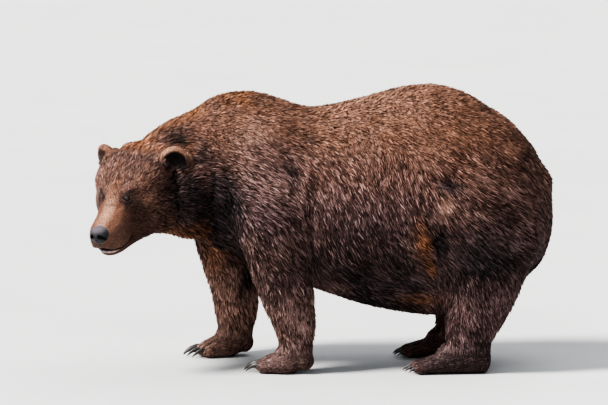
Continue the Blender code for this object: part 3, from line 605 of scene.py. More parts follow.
# ------------------------------------------------------- what is where, in numpy
def zones(p):
    """Shares and local places for each point: a dictionary of arrays."""
    h = into(HEAD_INV, p)
    z = {"h": h}
    front = p[:, 0] < -0.5
    side = np.abs(h[:, 1]) < 0.34
    z["head"] = smoothstep(-0.12, 0.02, h[:, 0]) * front * side * (h[:, 2] > -0.34)
    ear = np.zeros(len(p))
    for s in (1, -1):
        e = into(np.linalg.inv(EARS[s]), p)
        z["e%d" % s] = e
        reach = np.sqrt((e[:, 0] / 0.052) ** 2 + (e[:, 1] / 0.078) ** 2 + ((e[:, 2] - 0.010) / 0.080) ** 2)
        inside = smoothstep(1.12, 0.95, reach) * smoothstep(-0.045, -0.020, e[:, 2])
        z["ear%d" % s] = inside
        ear = np.maximum(ear, inside)
    z["ear"] = ear
    leg = np.zeros(len(p))
    for rows in (FRONT_LEG_LEFT, FRONT_LEG_RIGHT, HIND_LEG_LEFT, right_hind_rows()):
        r = np.array(rows)[::-1]
        cx = np.interp(p[:, 2], r[:, 2], r[:, 0])
        cy = np.interp(p[:, 2], r[:, 2], r[:, 1])
        away = np.hypot((p[:, 0] - cx) / 1.25, p[:, 1] - cy)
        leg = np.maximum(leg, smoothstep(0.26, 0.17, away) * smoothstep(0.62, 0.36, p[:, 2]))
    z["leg"] = leg
    z["paw"] = smoothstep(0.14, 0.09, p[:, 2])
    z["neck"] = smoothstep(-0.44, -0.56, p[:, 0]) * (1 - z["head"])
    return z


def depth(p, z):
    """How deep the skin lies under the coat's tips."""
    d = np.full(len(p), 0.026)
    low = smoothstep(0.62, 0.16, p[:, 2]) * z["leg"]
    d = d * (1 - low) + 0.008 * low
    d = d * (1 - z["paw"]) + 0.003 * z["paw"]
    hx = z["h"][:, 0]
    face = np.interp(hx, (-0.12, 0.02, 0.12, 0.20, 0.30, 0.43), (0.024, 0.017, 0.011, 0.0065, 0.0040, 0.0020))
    d = d * (1 - z["head"]) + face * z["head"]
    d = d * (1 - z["ear"]) + 0.0045 * z["ear"]
    for s in (1, -1):
        near = bell(np.linalg.norm(z["h"] - (EYE_AT[0] + 0.006, s * (EYE_AT[1] + 0.006), EYE_AT[2]), axis=1), 0.0, 0.030)
        d = d * (1 - near) + 0.0024 * near
    at = z["h"] - np.array([NOSE_AT[0] + 0.010, 0, NOSE_AT[2]])
    pad = smoothstep(1.25, 1.0, np.sqrt((at[:, 0] / 0.041) ** 2 + (at[:, 1] / 0.046) ** 2 + (at[:, 2] / 0.0365) ** 2))
    d = d * (1 - pad) + 0.0006 * pad
    return d * smoothstep(-0.002, 0.012, p[:, 2])


# ------------------------------------------------------------------------ skin
def subdivide(bm, inside):
    """Splits every edge whose two ends are inside in two."""
    edges = [e for e in bm.edges if inside[e.verts[0].index] and inside[e.verts[1].index]]
    bmesh.ops.subdivide_edges(bm, edges=edges, cuts=1, use_grid_fill=True)
    bm.verts.ensure_lookup_table()
    bm.verts.index_update()


def bm_points(bm):
    return np.array([v.co for v in bm.verts])


def build_skin():
    obj = envelope(VOXEL, round(64 * (0.009 / VOXEL) ** 2))
    mesh = obj.data
    p = coords(mesh)
    z = zones(p)
    # few faces where the long coat hides the skin
    busy = (z["head"] > 0.3) | (z["ear"] > 0.1) | (p[:, 2] < 0.17)
    group = obj.vertex_groups.new(name="kept")
    group.add([int(i) for i in np.nonzero(busy)[0]], 1.0, "REPLACE")
    group.add([int(i) for i in np.nonzero(~busy)[0]], 0.0, "REPLACE")
    triangulate = obj.modifiers.new("Triangulate", "TRIANGULATE")
    bake(obj)
    tri = len(obj.data.polygons)
    faces = np.empty(tri * 3, np.int32)
    obj.data.polygons.foreach_get("vertices", faces)
    kept = busy[faces.reshape(-1, 3)].all(1).sum()
    decimate = obj.modifiers.new("Decimate", "DECIMATE")
    decimate.ratio = (kept + 24000) / tri
    decimate.vertex_group = "kept"
    decimate.invert_vertex_group = True
    bake(obj)
    obj.vertex_groups.clear()
    return obj


def refine(obj):
    """More faces on the face, and most at the eyes, the nose and the mouth."""
    bm = bmesh.new()
    bm.from_mesh(obj.data)
    for level in (1, 2):
        bm.verts.ensure_lookup_table()
        bm.verts.index_update()
        h = into(HEAD_INV, bm_points(bm))
        face = (h[:, 0] > 0.10) & (np.abs(h[:, 1]) < 0.19) & (h[:, 2] > -0.24) & (h[:, 2] < 0.18) & (h[:, 0] < 0.52)
        if level == 2:
            near = np.zeros(len(h), bool)
            for s in (1, -1):
                near |= np.linalg.norm(h - (EYE_AT[0] + 0.010, s * (EYE_AT[1] + 0.008), EYE_AT[2]), axis=1) < 0.033
            near |= np.linalg.norm(h - (NOSE_AT[0] + 0.02, 0, NOSE_AT[2] - 0.006), axis=1) < 0.056
            near |= (h[:, 0] > 0.285) & (np.abs(h[:, 2] - mouth_line(h)) < 0.013)
            face &= near
        subdivide(bm, face)
    h = into(HEAD_INV, bm_points(bm))
    soft = [bm.verts[int(i)] for i in np.nonzero((h[:, 0] > 0.06) & (h[:, 0] < 0.52) & (np.abs(h[:, 1]) < 0.22))[0]]
    for _ in range(7):
        bmesh.ops.smooth_vert(bm, verts=soft, factor=0.5, use_axis_x=True, use_axis_y=True, use_axis_z=True)
    bmesh.ops.triangulate(bm, faces=bm.faces[:])
    bm.to_mesh(obj.data)
    bm.free()
    return obj


def mouth_line(h):
    """The height of the mouth's slit in the head's frame: level at the front, rising to the corner."""
    return np.interp(h[:, 0], (0.24, 0.31, 0.36, 0.43), (-0.116, -0.1235, -0.1265, -0.1225))


SLIT = (0.80, 0.145, 0.195, -0.05)     # half its length, its rise and fall, its middle, in radians


def slit_field(e):
    """How far outside the eye's slit each point in the eye's frame is, in metres."""
    along = np.arctan2(e[:, 1], np.maximum(e[:, 0], 1e-4))
    rise = np.arctan2(e[:, 2], np.maximum(np.hypot(e[:, 0], e[:, 1]), 1e-4)) - SLIT[3]
    room = 1 - (along / SLIT[0]) ** 2
    half = np.where(rise > 0, SLIT[1], SLIT[2]) * np.clip(room, -0.6, 1)
    return (np.abs(rise) - half) * EYE_RADIUS


NOSTRIL = ((0.486, 0.0135, -0.0290, 0.0066), (0.475, 0.0195, -0.0300, 0.0102), (0.468, 0.0265, -0.0365, 0.0080), (0.458, 0.0340, -0.0440, 0.0050), (0.446, 0.0400, -0.0500, 0.0030))


def nostril_field(h, side):
    """0 outside a nostril to 1 in the middle of its comma."""
    best = np.zeros(len(h))
    for a, b in zip(NOSTRIL, NOSTRIL[1:]):
        pa, pb = np.array(a[:3]), np.array(b[:3])
        pa[1] *= side
        pb[1] *= side
        axis = pb - pa
        t = np.clip(((h - pa) @ axis) / (axis @ axis), 0, 1)
        near = h - (pa + t[:, None] * axis)
        near[:, 0] /= 2.2
        r = a[3] + (b[3] - a[3]) * t
        best = np.maximum(best, smoothstep(1.25, 0.55, np.linalg.norm(near, axis=1) / r) * np.minimum(r / 0.0060, 1.0))
    return best


def pad_field(h):
    """The nose pad: under 1 inside."""
    q = h - np.array([NOSE_AT[0], 0, NOSE_AT[2]])
    return np.sqrt((q[:, 0] / 0.047) ** 2 + (q[:, 1] / 0.0465) ** 2 + (q[:, 2] / 0.0375) ** 2)


def sculpt(h, n):
    """The face's own relief, as moves in the head's frame: h places, n outward directions."""
    move = np.zeros_like(h)
    y = np.abs(h[:, 1])
    x, z = h[:, 0], h[:, 2]

    def lump(at, size, by):
        d2 = ((x - at[0]) / size[0]) ** 2 + ((y - at[1]) / size[1]) ** 2 + ((z - at[2]) / size[2]) ** 2
        return (by * np.exp(-d2))[:, None] * n

    # forehead furrow, brows, sockets, tear lines, cheekbones
    move += lump((0.200, 0.0, 0.095), (0.060, 0.011, 0.03), -0.0045)
    move += lump((0.232, 0.066, 0.074), (0.030, 0.028, 0.012), 0.0070)
    move += lump((0.264, 0.046, 0.048), (0.015, 0.012, 0.014), -0.0070)
    move += lump((0.287, 0.044, 0.022), (0.024, 0.012, 0.016), -0.0040)
    move += lump((0.225, 0.100, 0.020), (0.040, 0.030, 0.016), 0.0045)
    move += lump((0.262, 0.072, 0.016), (0.026, 0.020, 0.009), -0.0034)
    # whisker pads, the dip behind them, and the sides of the bridge
    move += lump((0.392, 0.056, -0.080), (0.036, 0.030, 0.026), 0.0050)
    move += lump((0.325, 0.075, -0.060), (0.022, 0.030, 0.034), -0.0042)
    move += lump((0.360, 0.046, -0.010), (0.050, 0.016, 0.014), -0.0035)
    # corner of the mouth and the lower lip's hang
    move += lump((0.300, 0.086, -0.122), (0.016, 0.020, 0.010), -0.0060)
    move += lump((0.330, 0.064, -0.152), (0.060, 0.030, 0.016), 0.0030)
    # nose pad: a rounded rim, the cleft, the nostrils
    rim = smoothstep(1.10, 0.96, pad_field(h)) * (x > NOSE_AT[0] - 0.030)
    move += (0.0022 * rim)[:, None] * n
    cleft = np.exp(-((h[:, 1] / 0.0026) ** 2)) * smoothstep(-0.116, -0.106, z) * smoothstep(-0.030, -0.044, z) * (x > 0.41)
    move += (-0.0045 * cleft)[:, None] * n
    for s in (1, -1):
        hole = nostril_field(h, s)
        move += hole[:, None] * np.array([-0.0170, -s * 0.0050, 0.0040])
        rim = smoothstep(0.0, 0.25, hole) * smoothstep(0.5, 0.25, hole)
        move += (0.0016 * rim)[:, None] * n
    # the mouth: a slit, a little open at the front, its lips turned in
    line = z - mouth_line(h)
    gape = 0.0022 + 0.0110 * smoothstep(0.365, 0.425, x)
    slit = smoothstep(1.0, 0.55, np.abs(line + 0.001) / gape) * smoothstep(0.285, 0.315, x) * (x < 0.5) * (y < 0.11)
    inward = np.stack([-0.55 * smoothstep(0.36, 0.42, x), -np.sign(h[:, 1]) * smoothstep(0.0, 0.03, y), 0 * x], 1)
    move += (slit * (0.012 + 0.012 * smoothstep(0.33, 0.42, x)))[:, None] * inward
    lip = bell(line, 0.0105, 0.0045) + bell(line, -0.0125, 0.0045)
    move += (0.0016 * lip * smoothstep(0.29, 0.33, x) * (x < 0.5))[:, None] * n
    out = h + move
    # round each eye the skin rises to the ball, and inside the slit it drops behind it
    for s in (1, -1):
        frame_in = np.array(eye_matrix(s).inverted())
        e = into(frame_in, out)
        off = np.hypot(e[:, 1], e[:, 2])
        outside = slit_field(e)
        r = EYE_RADIUS + 0.0008
        dome = np.sqrt(np.maximum(r * r - np.minimum(off, 0.011) ** 2, 0)) - 0.9 * np.maximum(off - 0.011, 0)
        target = dome * smoothstep(-0.0004, 0.0006, outside)
        share = smoothstep(0.0215, 0.0125, off) * (e[:, 0] > -0.012)
        e[:, 0] = np.where(e[:, 0] > -0.02, e[:, 0] * (1 - share) + target * share, e[:, 0])
        out = np.where((share > 0)[:, None], into(np.array(eye_matrix(s)), e), out)
    return out


FLANK_HOLLOW = (0.577, 0.893)
FLANK_FOLD = (0.512, 0.600)


def toe_grooves(p):
    """The clefts between the toes, from the claws back over the paw."""
    d = np.zeros(len(p))
    low = p[:, 2] < 0.12
    for key, paw in PAWS:
        reach = 0.172 if "front" in key else 0.272
        q = into(np.linalg.inv(np.array(paw_matrix(paw))), p)
        for k in range(4):
            middle = (TOES[k] + TOES[k + 1]) / 2
            set_back = max(TOE_SET_BACK[k], TOE_SET_BACK[k + 1])
            from_tip = reach - set_back - q[:, 0]
            near = smoothstep(-0.045, -0.010, from_tip) * smoothstep(0.085, 0.030, from_tip)
            d -= 0.0085 * np.exp(-(((q[:, 1] - middle * (1 - 0.12 * from_tip / 0.05)) / 0.0070) ** 2)) * near * low
    return d


def body_relief(p, z):
    """Folds of the hide on the body's sides: how far each point is raised or sunk."""
    x, height = p[:, 0], p[:, 2]
    d = -0.024 * spot(p, *FLANK_HOLLOW, 0.050, 0.024, -10)
    d += 0.010 * spot(p, FLANK_HOLLOW[0] - 0.02, FLANK_HOLLOW[1] - 0.060, 0.060, 0.030, -10)
    d += -0.030 * spot(p, *FLANK_FOLD, 0.022, 0.085, 6)
    d += 0.012 * spot(p, FLANK_FOLD[0] - 0.045, FLANK_FOLD[1] - 0.01, 0.024, 0.090, 8)
    d += -0.016 * spot(p, -0.035, 0.575, 0.022, 0.110, 4)
    d += -0.014 * spot(p, -0.125, 0.920, 0.030, 0.080, 20)
    d += -0.016 * spot(p, -0.420, 0.780, 0.030, 0.130, 8)
    d += 0.0032 * ripple(p, 0.16, 31, 2) * smoothstep(0.30, 0.45, height)
    d += toe_grooves(p)
    return d * (1 - z["head"]) * (1 - z["ear"]) * (x > -0.75)


def shape_skin(obj):
    """Lays the skin inside the coat and cuts the face's relief into it."""
    mesh = obj.data
    p = coords(mesh)
    n = normals(mesh)
    z = zones(p)
    p = p + n * (np.minimum(body_relief(p, z), depth(p, z) * 0.6) - depth(p, z))[:, None]
    h = into(HEAD_INV, p)
    nh = n @ HEAD_INV[:3, :3].T
    face = (h[:, 0] > 0.08) & (h[:, 0] < 0.55) & (np.abs(h[:, 1]) < 0.2) & (np.abs(h[:, 2]) < 0.25)
    h2 = h.copy()
    h2[face] = sculpt(h[face], nh[face])
    p = np.where(face[:, None], into(HEAD, h2), p)
    p[:, 2] = np.maximum(p[:, 2], 0.0)
    put(mesh, p)
    return obj


def lid_mesh(side):
    """The two lids as one ring: rolled margin on the ball, outer edge sunk in the skin."""
    bm = bmesh.new()
    rows = ((-0.0006, 0.0001), (-0.0001, 0.0009), (0.0008, 0.0017), (0.0022, 0.0021), (0.0042, 0.0012), (0.0064, -0.0008), (0.0086, -0.0034))
    count = 56
    rings = []
    for off, lift in rows:
        ring = []
        for k in range(count):
            t = 2 * math.pi * k / count
            a = SLIT[0] * math.cos(t)
            b = SLIT[3] + (SLIT[1] if math.sin(t) > 0 else SLIT[2]) * abs(math.sin(t)) ** 1.5 * (1 if math.sin(t) > 0 else -1)
            outward = Vector((0.62 * math.cos(t), math.sin(t))).normalized() * off / EYE_RADIUS
            a += outward.x
            b += outward.y
            upper = 0.0006 * max(0.0, math.sin(t)) * (off > 0)
            r = EYE_RADIUS + lift + upper
            ring.append(bm.verts.new((r * math.cos(a) * math.cos(b), r * math.sin(a) * math.cos(b), r * math.sin(b))))
        rings.append(ring)
    for low, high in zip(rings, rings[1:]):
        for k in range(count):
            bm.faces.new((low[k], low[(k + 1) % count], high[(k + 1) % count], high[k]))
    # closed behind, inside the head
    back = [bm.verts.new(v.co * 0.80) for v in rings[-1]]
    front = [bm.verts.new(v.co * 0.80) for v in rings[0]]
    for ring_a, ring_b in ((rings[-1], back), (back, front), (front, rings[0])):
        for k in range(count):
            bm.faces.new((ring_a[k], ring_a[(k + 1) % count], ring_b[(k + 1) % count], ring_b[k]))
    bmesh.ops.recalc_face_normals(bm, faces=bm.faces)
    bmesh.ops.triangulate(bm, faces=bm.faces)
    return moved(add_object("lids", bm), head_matrix() @ eye_matrix(side))


def finish_skin():
    """The whole skin, lids in place."""
    body = shape_skin(refine(build_skin()))
    whole = joined("skin", [body, lid_mesh(1), lid_mesh(-1)])
    whole.data.name = "skin"
    return whole


# ---------------------------------------------------------------- eyes, claws
def eyeball(side):
    """The eye: a ball with a bulging front. Its ring attribute is the angle from the pupil."""
    bm = bmesh.new()
    rings, count = 30, 40
    angles = []
    loops = []
    for k in range(rings + 1):
        a = math.pi * k / rings
        bulge = 0.045 * max(0.0, 1 - (a / 0.62) ** 2) if a < 0.62 else 0.0
        r = EYE_RADIUS * (0.962 + bulge)
        if k in (0, rings):
            loops.append([bm.verts.new((r * math.cos(a), 0, 0))])
            continue
        loops.append([bm.verts.new((r * math.cos(a), r * math.sin(a) * math.cos(2 * math.pi * j / count), r * math.sin(a) * math.sin(2 * math.pi * j / count))) for j in range(count)])
    for low, high in zip(loops, loops[1:]):
        for j in range(count):
            i = (j + 1) % count
            if len(low) == 1:
                bm.faces.new((low[0], high[j], high[i]))
            elif len(high) == 1:
                bm.faces.new((low[j], high[0], low[i]))
            else:
                bm.faces.new((low[j], high[j], high[i], low[i]))
    bmesh.ops.recalc_face_normals(bm, faces=bm.faces)
    obj = add_object("eyeball_left" if side > 0 else "eyeball_right", bm)
    p = coords(obj.data)
    attribute(obj.data, "ring", np.arctan2(np.hypot(p[:, 1], p[:, 2]), p[:, 0]))
    attribute(obj.data, "turn", np.arctan2(p[:, 2], p[:, 1]))
    moved(obj, head_matrix() @ eye_matrix(side))
    obj.data.shade_smooth()
    return obj


def foot_claws(name, paw, shape, reach, height, spread):
    """Five smooth claws as one piece, thick at the root and worn blunt at the tip."""
    made = []
    along = []
    for n, (y, back) in enumerate(zip(TOES, TOE_SET_BACK)):
        rows = []
        for k in range(5):
            t = k / 4
            thick = shape["thick"] * (1.0 - 0.86 * t**1.8) * 0.97
            rows.append((shape["length"] * t, 0, -shape["drop"] * t**1.9 + 0.004 * math.sin(math.pi * t), thick * 0.64, thick, thick * 0.92))
        obj = tube("claw", rows, steps=5, sides=14, caps=(0.0, 0.6))
        along.append(np.clip(coords(obj.data)[:, 0] / shape["length"], 0, 1))
        place = Matrix.Translation((reach - back, y, height)) @ Matrix.Rotation(math.degrees(y) * spread * math.pi / 180, 4, "Z")
        made.append(moved(obj, paw_matrix(paw) @ place))
    whole = joined(name, made)
    attribute(whole.data, "along", np.concatenate(along))
    whole.data.shade_smooth()
    return whole


def attribute(mesh, name, values):
    layer = mesh.attributes.new(name, "FLOAT", "POINT")
    layer.data.foreach_set("value", np.ascontiguousarray(values, np.float32))


# -------------------------------------------------------------------- colour pattern, painted shade and painted light
def spot(p, x, z, wide, tall, turn=0.0):
    """A soft patch on the body's sides, round (x, z), its long way turned by turn degrees."""
    a = math.radians(turn)
    dx, dz = p[:, 0] - x, p[:, 2] - z
    u = dx * math.cos(a) + dz * math.sin(a)
    v = -dx * math.sin(a) + dz * math.cos(a)
    return np.exp(-((u / wide) ** 2) - (v / tall) ** 2)


def markings_and_painted_light(p, n, z):
    """How dark, golden, pale and cool the coat is at each point, 0 to 1: its own colour pattern together with painted
    shade and painted light, as noted below.
    """
    x0, height = p[:, 0], p[:, 2] + 0.030 * ripple(p, 0.30, 3)
    up = n[:, 2]
    leg, paw = z["leg"], z["paw"]
    far = p[:, 1] > 0
    dark = 0.72 * smoothstep(0.92, 0.44, height)
    # surfaces turned downwards, under the belly, the chest and the neck, get painted shade
    dark = np.maximum(dark, 0.95 * smoothstep(-0.10, -0.60, up) * smoothstep(1.0, 0.8, height))
    for strength, x, high, wide, tall, turn in (
        # the thigh's dark is partly dark fur, partly painted shade under the belly's bulge
        (1.02, 0.740, 0.535, 0.25, 0.19, 0),         # the thigh
        (0.36, 0.910, 0.740, 0.22, 0.26, 0),         # the rump's side
        # painted shadow cast by the head and ear on the neck's side and before the shoulder
        (1.50, -0.430, 0.770, 0.090, 0.185, 8),      # before the shoulder
        (1.42, -0.535, 0.815, 0.140, 0.155, 0),      # the neck's side
        (0.55, -0.300, 0.700, 0.080, 0.060, 0),
        # painted shade in the fold behind the shoulder blade
        (0.85, -0.125, 0.930, 0.036, 0.090, 20),     # behind the shoulder blade
        (0.60, -0.060, 0.780, 0.030, 0.120, 0),
        (0.50, -0.060, 1.075, 0.050, 0.045, 0),
        # painted shade in the flank's hollow and fold, over the dents that body_relief cuts
        (1.08, FLANK_HOLLOW[0] + 0.002, FLANK_HOLLOW[1] - 0.010, 0.066, 0.034, -8),
        (1.50, FLANK_FOLD[0] + 0.030, FLANK_FOLD[1] + 0.02, 0.036, 0.085, 6),
        # painted shade in the crease behind the elbow
        (0.90, -0.030, 0.560, 0.030, 0.140, 4),      # behind the elbow
        (0.50, 0.250, 0.690, 0.110, 0.050, -20),
        (0.92, -0.645, 1.060, 0.075, 0.045, 0),      # the nape
        (1.05, -0.560, 0.955, 0.085, 0.085, 0),
        (0.34, -0.350, 1.240, 0.120, 0.040, 0),      # the crest
    ):
        dark = np.maximum(dark, strength * spot(p, x, high, wide, tall, turn))
    dark = dark * (1 - 0.50 * np.minimum(1, 1.5 * spot(p, -0.220, 0.560, 0.130, 0.150)))
    low_leg = leg * smoothstep(0.52, 0.34, p[:, 2])
    # the far foreleg's lower part is made less dark here as painted sunlight on it
    dark = dark * (1 - low_leg) + low_leg * (0.10 + 0.26 * ripple(p, 0.10, 8) - 0.40 * far * (x0 < 0.1) + 0.16 * (x0 > 0.1))
    low = leg * smoothstep(0.24, 0.08, p[:, 2] + 0.02 * ripple(p, 0.05, 9))
    dark = np.maximum(dark, low * (0.70 * (x0 > 0.1) + 0.46 * (x0 <= 0.1)))
    # painted shade in the clefts between the toes
    dark = np.minimum(dark + 0.50 * paw * toe_grooves(p) / -0.0085, 1)
    # painted shade on the far foreleg's rear side
    dark = np.maximum(dark, 1.10 * spot(p, -0.335, 0.37, 0.050, 0.110, -8) * far)
    warm = 1.00 * smoothstep(0.62, 0.93, up) * smoothstep(0.93, 1.06, p[:, 2]) * smoothstep(-0.22, -0.36, x0)
    warm = np.maximum(warm, 0.40 * smoothstep(0.85, 1.12, height) * smoothstep(-0.20, 0.70, up))
    warm = np.maximum(warm, 0.22 * smoothstep(0.62, 0.95, height))
    gold = 0.85 * spot(p, FLANK_FOLD[0] - 0.050, 0.630, 0.040, 0.110, 6)
    gold = np.maximum(gold, spot(p, FLANK_FOLD[0] - 0.022, 0.515, 0.028, 0.055, 10))
    gold = np.maximum(gold, 0.7 * spot(p, 0.44, 0.345, 0.12, 0.035))
    # front: painted sunlight on the far foreleg's front, golden and pale
    front = 0.85 * spot(p, -0.485, 0.50, 0.075, 0.17) * far
    warm = np.maximum(warm, np.maximum(gold, front))
    dark = dark * (1 - 0.80 * gold) * (1 - 0.95 * front)
    # pale on the top, the shoulder and the back is painted sky sheen on wet hair, as a lighter TAN
    pale = 0.24 * smoothstep(0.90, 1.14, height) * smoothstep(-0.3, 0.5, up) * smoothstep(-0.40, -0.24, x0)
    for strength, x, high, wide, tall in (
        (0.50, -0.280, 1.060, 0.150, 0.140),         # the shoulder
        (0.30, -0.225, 0.890, 0.110, 0.100),
        (0.26, 0.600, 1.160, 0.250, 0.100),         # the back
        (0.75, FLANK_HOLLOW[0] - 0.012, 0.800, 0.034, 0.060),
    ):
        pale = np.maximum(pale, strength * spot(p, x, high, wide, tall))
    # the far foreleg's extra pale here and its warm below are painted sunlight
    pale = np.maximum(pale, low_leg * (0.36 * (x0 < 0.1) + 0.10 * (x0 > 0.1) + 0.34 * far * (x0 < 0.1)))
    warm = np.maximum(warm, 0.70 * spot(p, -0.640, 1.050, 0.090, 0.060))
    pale = np.maximum(pale, 0.40 * front)
    warm = np.maximum(warm, 0.35 * low_leg * far)
    # cool is a bluish-lilac tint: where it follows dark it is the painted blue cast of shade, on the shoulder it is
    # painted sky sheen on wet hair, and on the legs and the flank it makes the coat bluer
    cool = np.maximum(0.75 * leg, 0.80 * dark)
    for strength, x, high, wide, tall in ((1.2, -0.240, 0.880, 0.180, 0.240), (0.9, -0.260, 1.050, 0.140, 0.120), (0.75, 0.200, 0.760, 0.450, 0.180)):
        cool = np.maximum(cool, strength * spot(p, x, high, wide, tall))
    h = z["h"]
    x, y, zz = h[:, 0], np.abs(h[:, 1]), h[:, 2]
    face = z["head"]

    def patch(at, size):
        return np.exp(-(((x - at[0]) / size[0]) ** 2) - ((y - at[1]) / size[1]) ** 2 - ((zz - at[2]) / size[2]) ** 2) * (face > 0.01)

    # the muzzle: pale on top, golden on its shoulders, brown below; its pale is tan hair, and keeping it to the ridge
    # is partly painted sunlight on the top
    ahead = smoothstep(0.225, 0.330, x) * face
    muzzle = ahead * smoothstep(-0.052, 0.004, zz + 0.05 * smoothstep(0.41, 0.46, x))
    ridge = smoothstep(0.044, 0.012, y)
    lower = smoothstep(0.27, 0.34, x) * face * (1 - muzzle)
    strip = smoothstep(0.040, 0.012, y) * smoothstep(0.12, 0.20, x) * (zz > -0.02) * face
    brow = patch((0.205, 0.050, 0.090), (0.040, 0.030, 0.022))
    forehead = smoothstep(0.00, 0.14, x) * smoothstep(0.0, 0.07, zz) * face * smoothstep(0.16, 0.07, y)
    temple = patch((0.120, 0.125, 0.090), (0.080, 0.050, 0.040))
    cheek_bone = patch((0.190, 0.128, 0.005), (0.050, 0.030, 0.026))
    pale = pale * (1 - face)
    # cheek_bone is painted light on the cheekbone: paler there and less dark
    for value in (1.00 * muzzle * (0.16 + 0.84 * ridge) * (1 - 0.50 * smoothstep(0.36, 0.43, x)), 0.02 * strip, 0.08 * brow, 0.04 * forehead, 0.04 * temple, 0.80 * cheek_bone, 0.62 * lower):
        pale = np.maximum(pale, value)
    warm = warm * (1 - face) + face * (0.34 + 0.32 * strip + 0.15 * muzzle * (1 - ridge) + 0.10 * lower)
    cheek = patch((0.170, 0.140, -0.085), (0.085, 0.080, 0.072))
    socket = np.minimum(1, 1.7 * patch((0.252, 0.066, 0.040), (0.032, 0.030, 0.025)))
    hollow = np.minimum(1, 1.9 * patch((0.244, 0.096, -0.006), (0.040, 0.034, 0.036)))
    lid_line = patch((0.234, 0.078, 0.068), (0.036, 0.028, 0.014))
    tear = patch((0.268, 0.070, 0.008), (0.032, 0.020, 0.022))
    furrow = patch((0.160, 0.052, 0.105), (0.026, 0.010, 0.03))
    scar = np.exp(-(((x - 0.300) / 0.0075) ** 2)) * (zz > -0.015) * smoothstep(0.040, 0.022, y) * face
    lips = smoothstep(0.015, 0.006, np.abs(zz - mouth_line(h) + 0.004)) * smoothstep(0.26, 0.30, x) * face
    jaw = smoothstep(-0.125, -0.150, zz) * face * smoothstep(0.15, 0.25, x)
    under_ear = np.minimum(1, 1.4 * patch((0.035, 0.195, -0.015), (0.075, 0.055, 0.060)))
    back = face * smoothstep(0.04, -0.05, zz) * smoothstep(0.20, 0.10, x)
    behind = face * smoothstep(0.165, 0.205, y) * smoothstep(0.07, 0.02, zz)
    dark = dark * (1 - smoothstep(0.0, 0.5, face))
    # behind and under_ear are painted shade behind the cheek and under the ear, cheek and back are partly dark fur and
    # partly painted shade on the face's side, lid_line is partly the brow's painted shadow, and hollow is painted
    # shade under the cheekbone
    for value in (
        0.50 * np.maximum(cheek, back) * (1 - muzzle),
        1.00 * behind,
        0.92 * under_ear,
        0.50 * face * (1 - muzzle) * (1 + 0.20 * strip) * (1 - 0.34 * forehead) * (1 - 0.2 * temple) * (1 - 0.75 * cheek_bone),
        0.98 * socket,
        0.84 * lid_line,
        0.62 * hollow,
        0.75 * tear,
        0.60 * furrow,
        0.50 * scar,
        0.05 * lower,
        0.85 * lips,
        0.48 * jaw,
    ):
        dark = np.maximum(dark, value)
    for s in (1, -1):
        e = into(np.array(eye_matrix(s).inverted()), h)
        lid = smoothstep(0.0100, 0.0040, slit_field(e)) * (np.linalg.norm(e, axis=1) < 0.026) * (e[:, 0] > 0)
        dark = dark * (1 - lid) + (0.46 + 0.24 * (e[:, 2] > -0.001)) * lid
    pale = pale * (1 - 0.95 * socket) * (1 - 0.7 * tear) * (1 - 0.7 * lips) * (1 - 0.4 * jaw)
    inner, edge = np.zeros(len(p)), np.zeros(len(p))
    for s in (1, -1):
        e = z["e%d" % s]
        bowl = np.sqrt((e[:, 1] / 0.056) ** 2 + ((e[:, 2] + 0.022) / 0.074) ** 2)
        inner = np.maximum(inner, smoothstep(1.10, 0.94, bowl) * z["ear%d" % s] * (e[:, 0] > -0.012))
        edge = np.maximum(edge, smoothstep(1.75, 1.45, bowl) * z["ear%d" % s])
    # the ear's cup is dark hair darkened further as painted shade, its rim is painted lighter along the top and darker
    # along the lower edge as light from above falls, and the far ear's cup is painted less dark, as it is lit
    rim = z["ear"] * (1 - inner)
    ear_height = np.where(z["ear1"] > 0, z["e1"][:, 2], z["e-1"][:, 2])
    top_rim = smoothstep(0.000, 0.050, ear_height)
    low_rim = smoothstep(0.012, -0.020, ear_height)
    pale = np.maximum(pale * (1 - z["ear"]), rim * edge * (0.20 + 1.00 * top_rim) * (1 - 0.75 * (h[:, 1] < 0)))
    dark = np.maximum(dark * (1 - z["ear"]), np.maximum(0.98 * inner * (1 - 0.4 * (h[:, 1] < 0)), rim * (0.50 + 0.44 * low_rim) * (1 - top_rim * edge)))
    warm = warm * (1 - z["ear"]) + 0.45 * rim
    throat = smoothstep(-0.14, -0.20, zz) * smoothstep(0.22, 0.10, x) * smoothstep(-0.12, 0.0, x) * (x0 < -0.5) * smoothstep(-0.1, -0.6, up)
    warm = np.maximum(warm, 0.8 * throat)
    dark = dark * (1 - 0.45 * throat)
    cool = cool * (1 - face) + face * np.maximum(0.75 * dark, 0.45 * smoothstep(0.40, 0.44, x))
    return np.clip(dark, 0, 1), np.clip(warm, 0, 1), np.clip(pale, 0, 1), np.clip(cool, 0, 1) * np.clip(1 - 0.6 * warm, 0, 1)


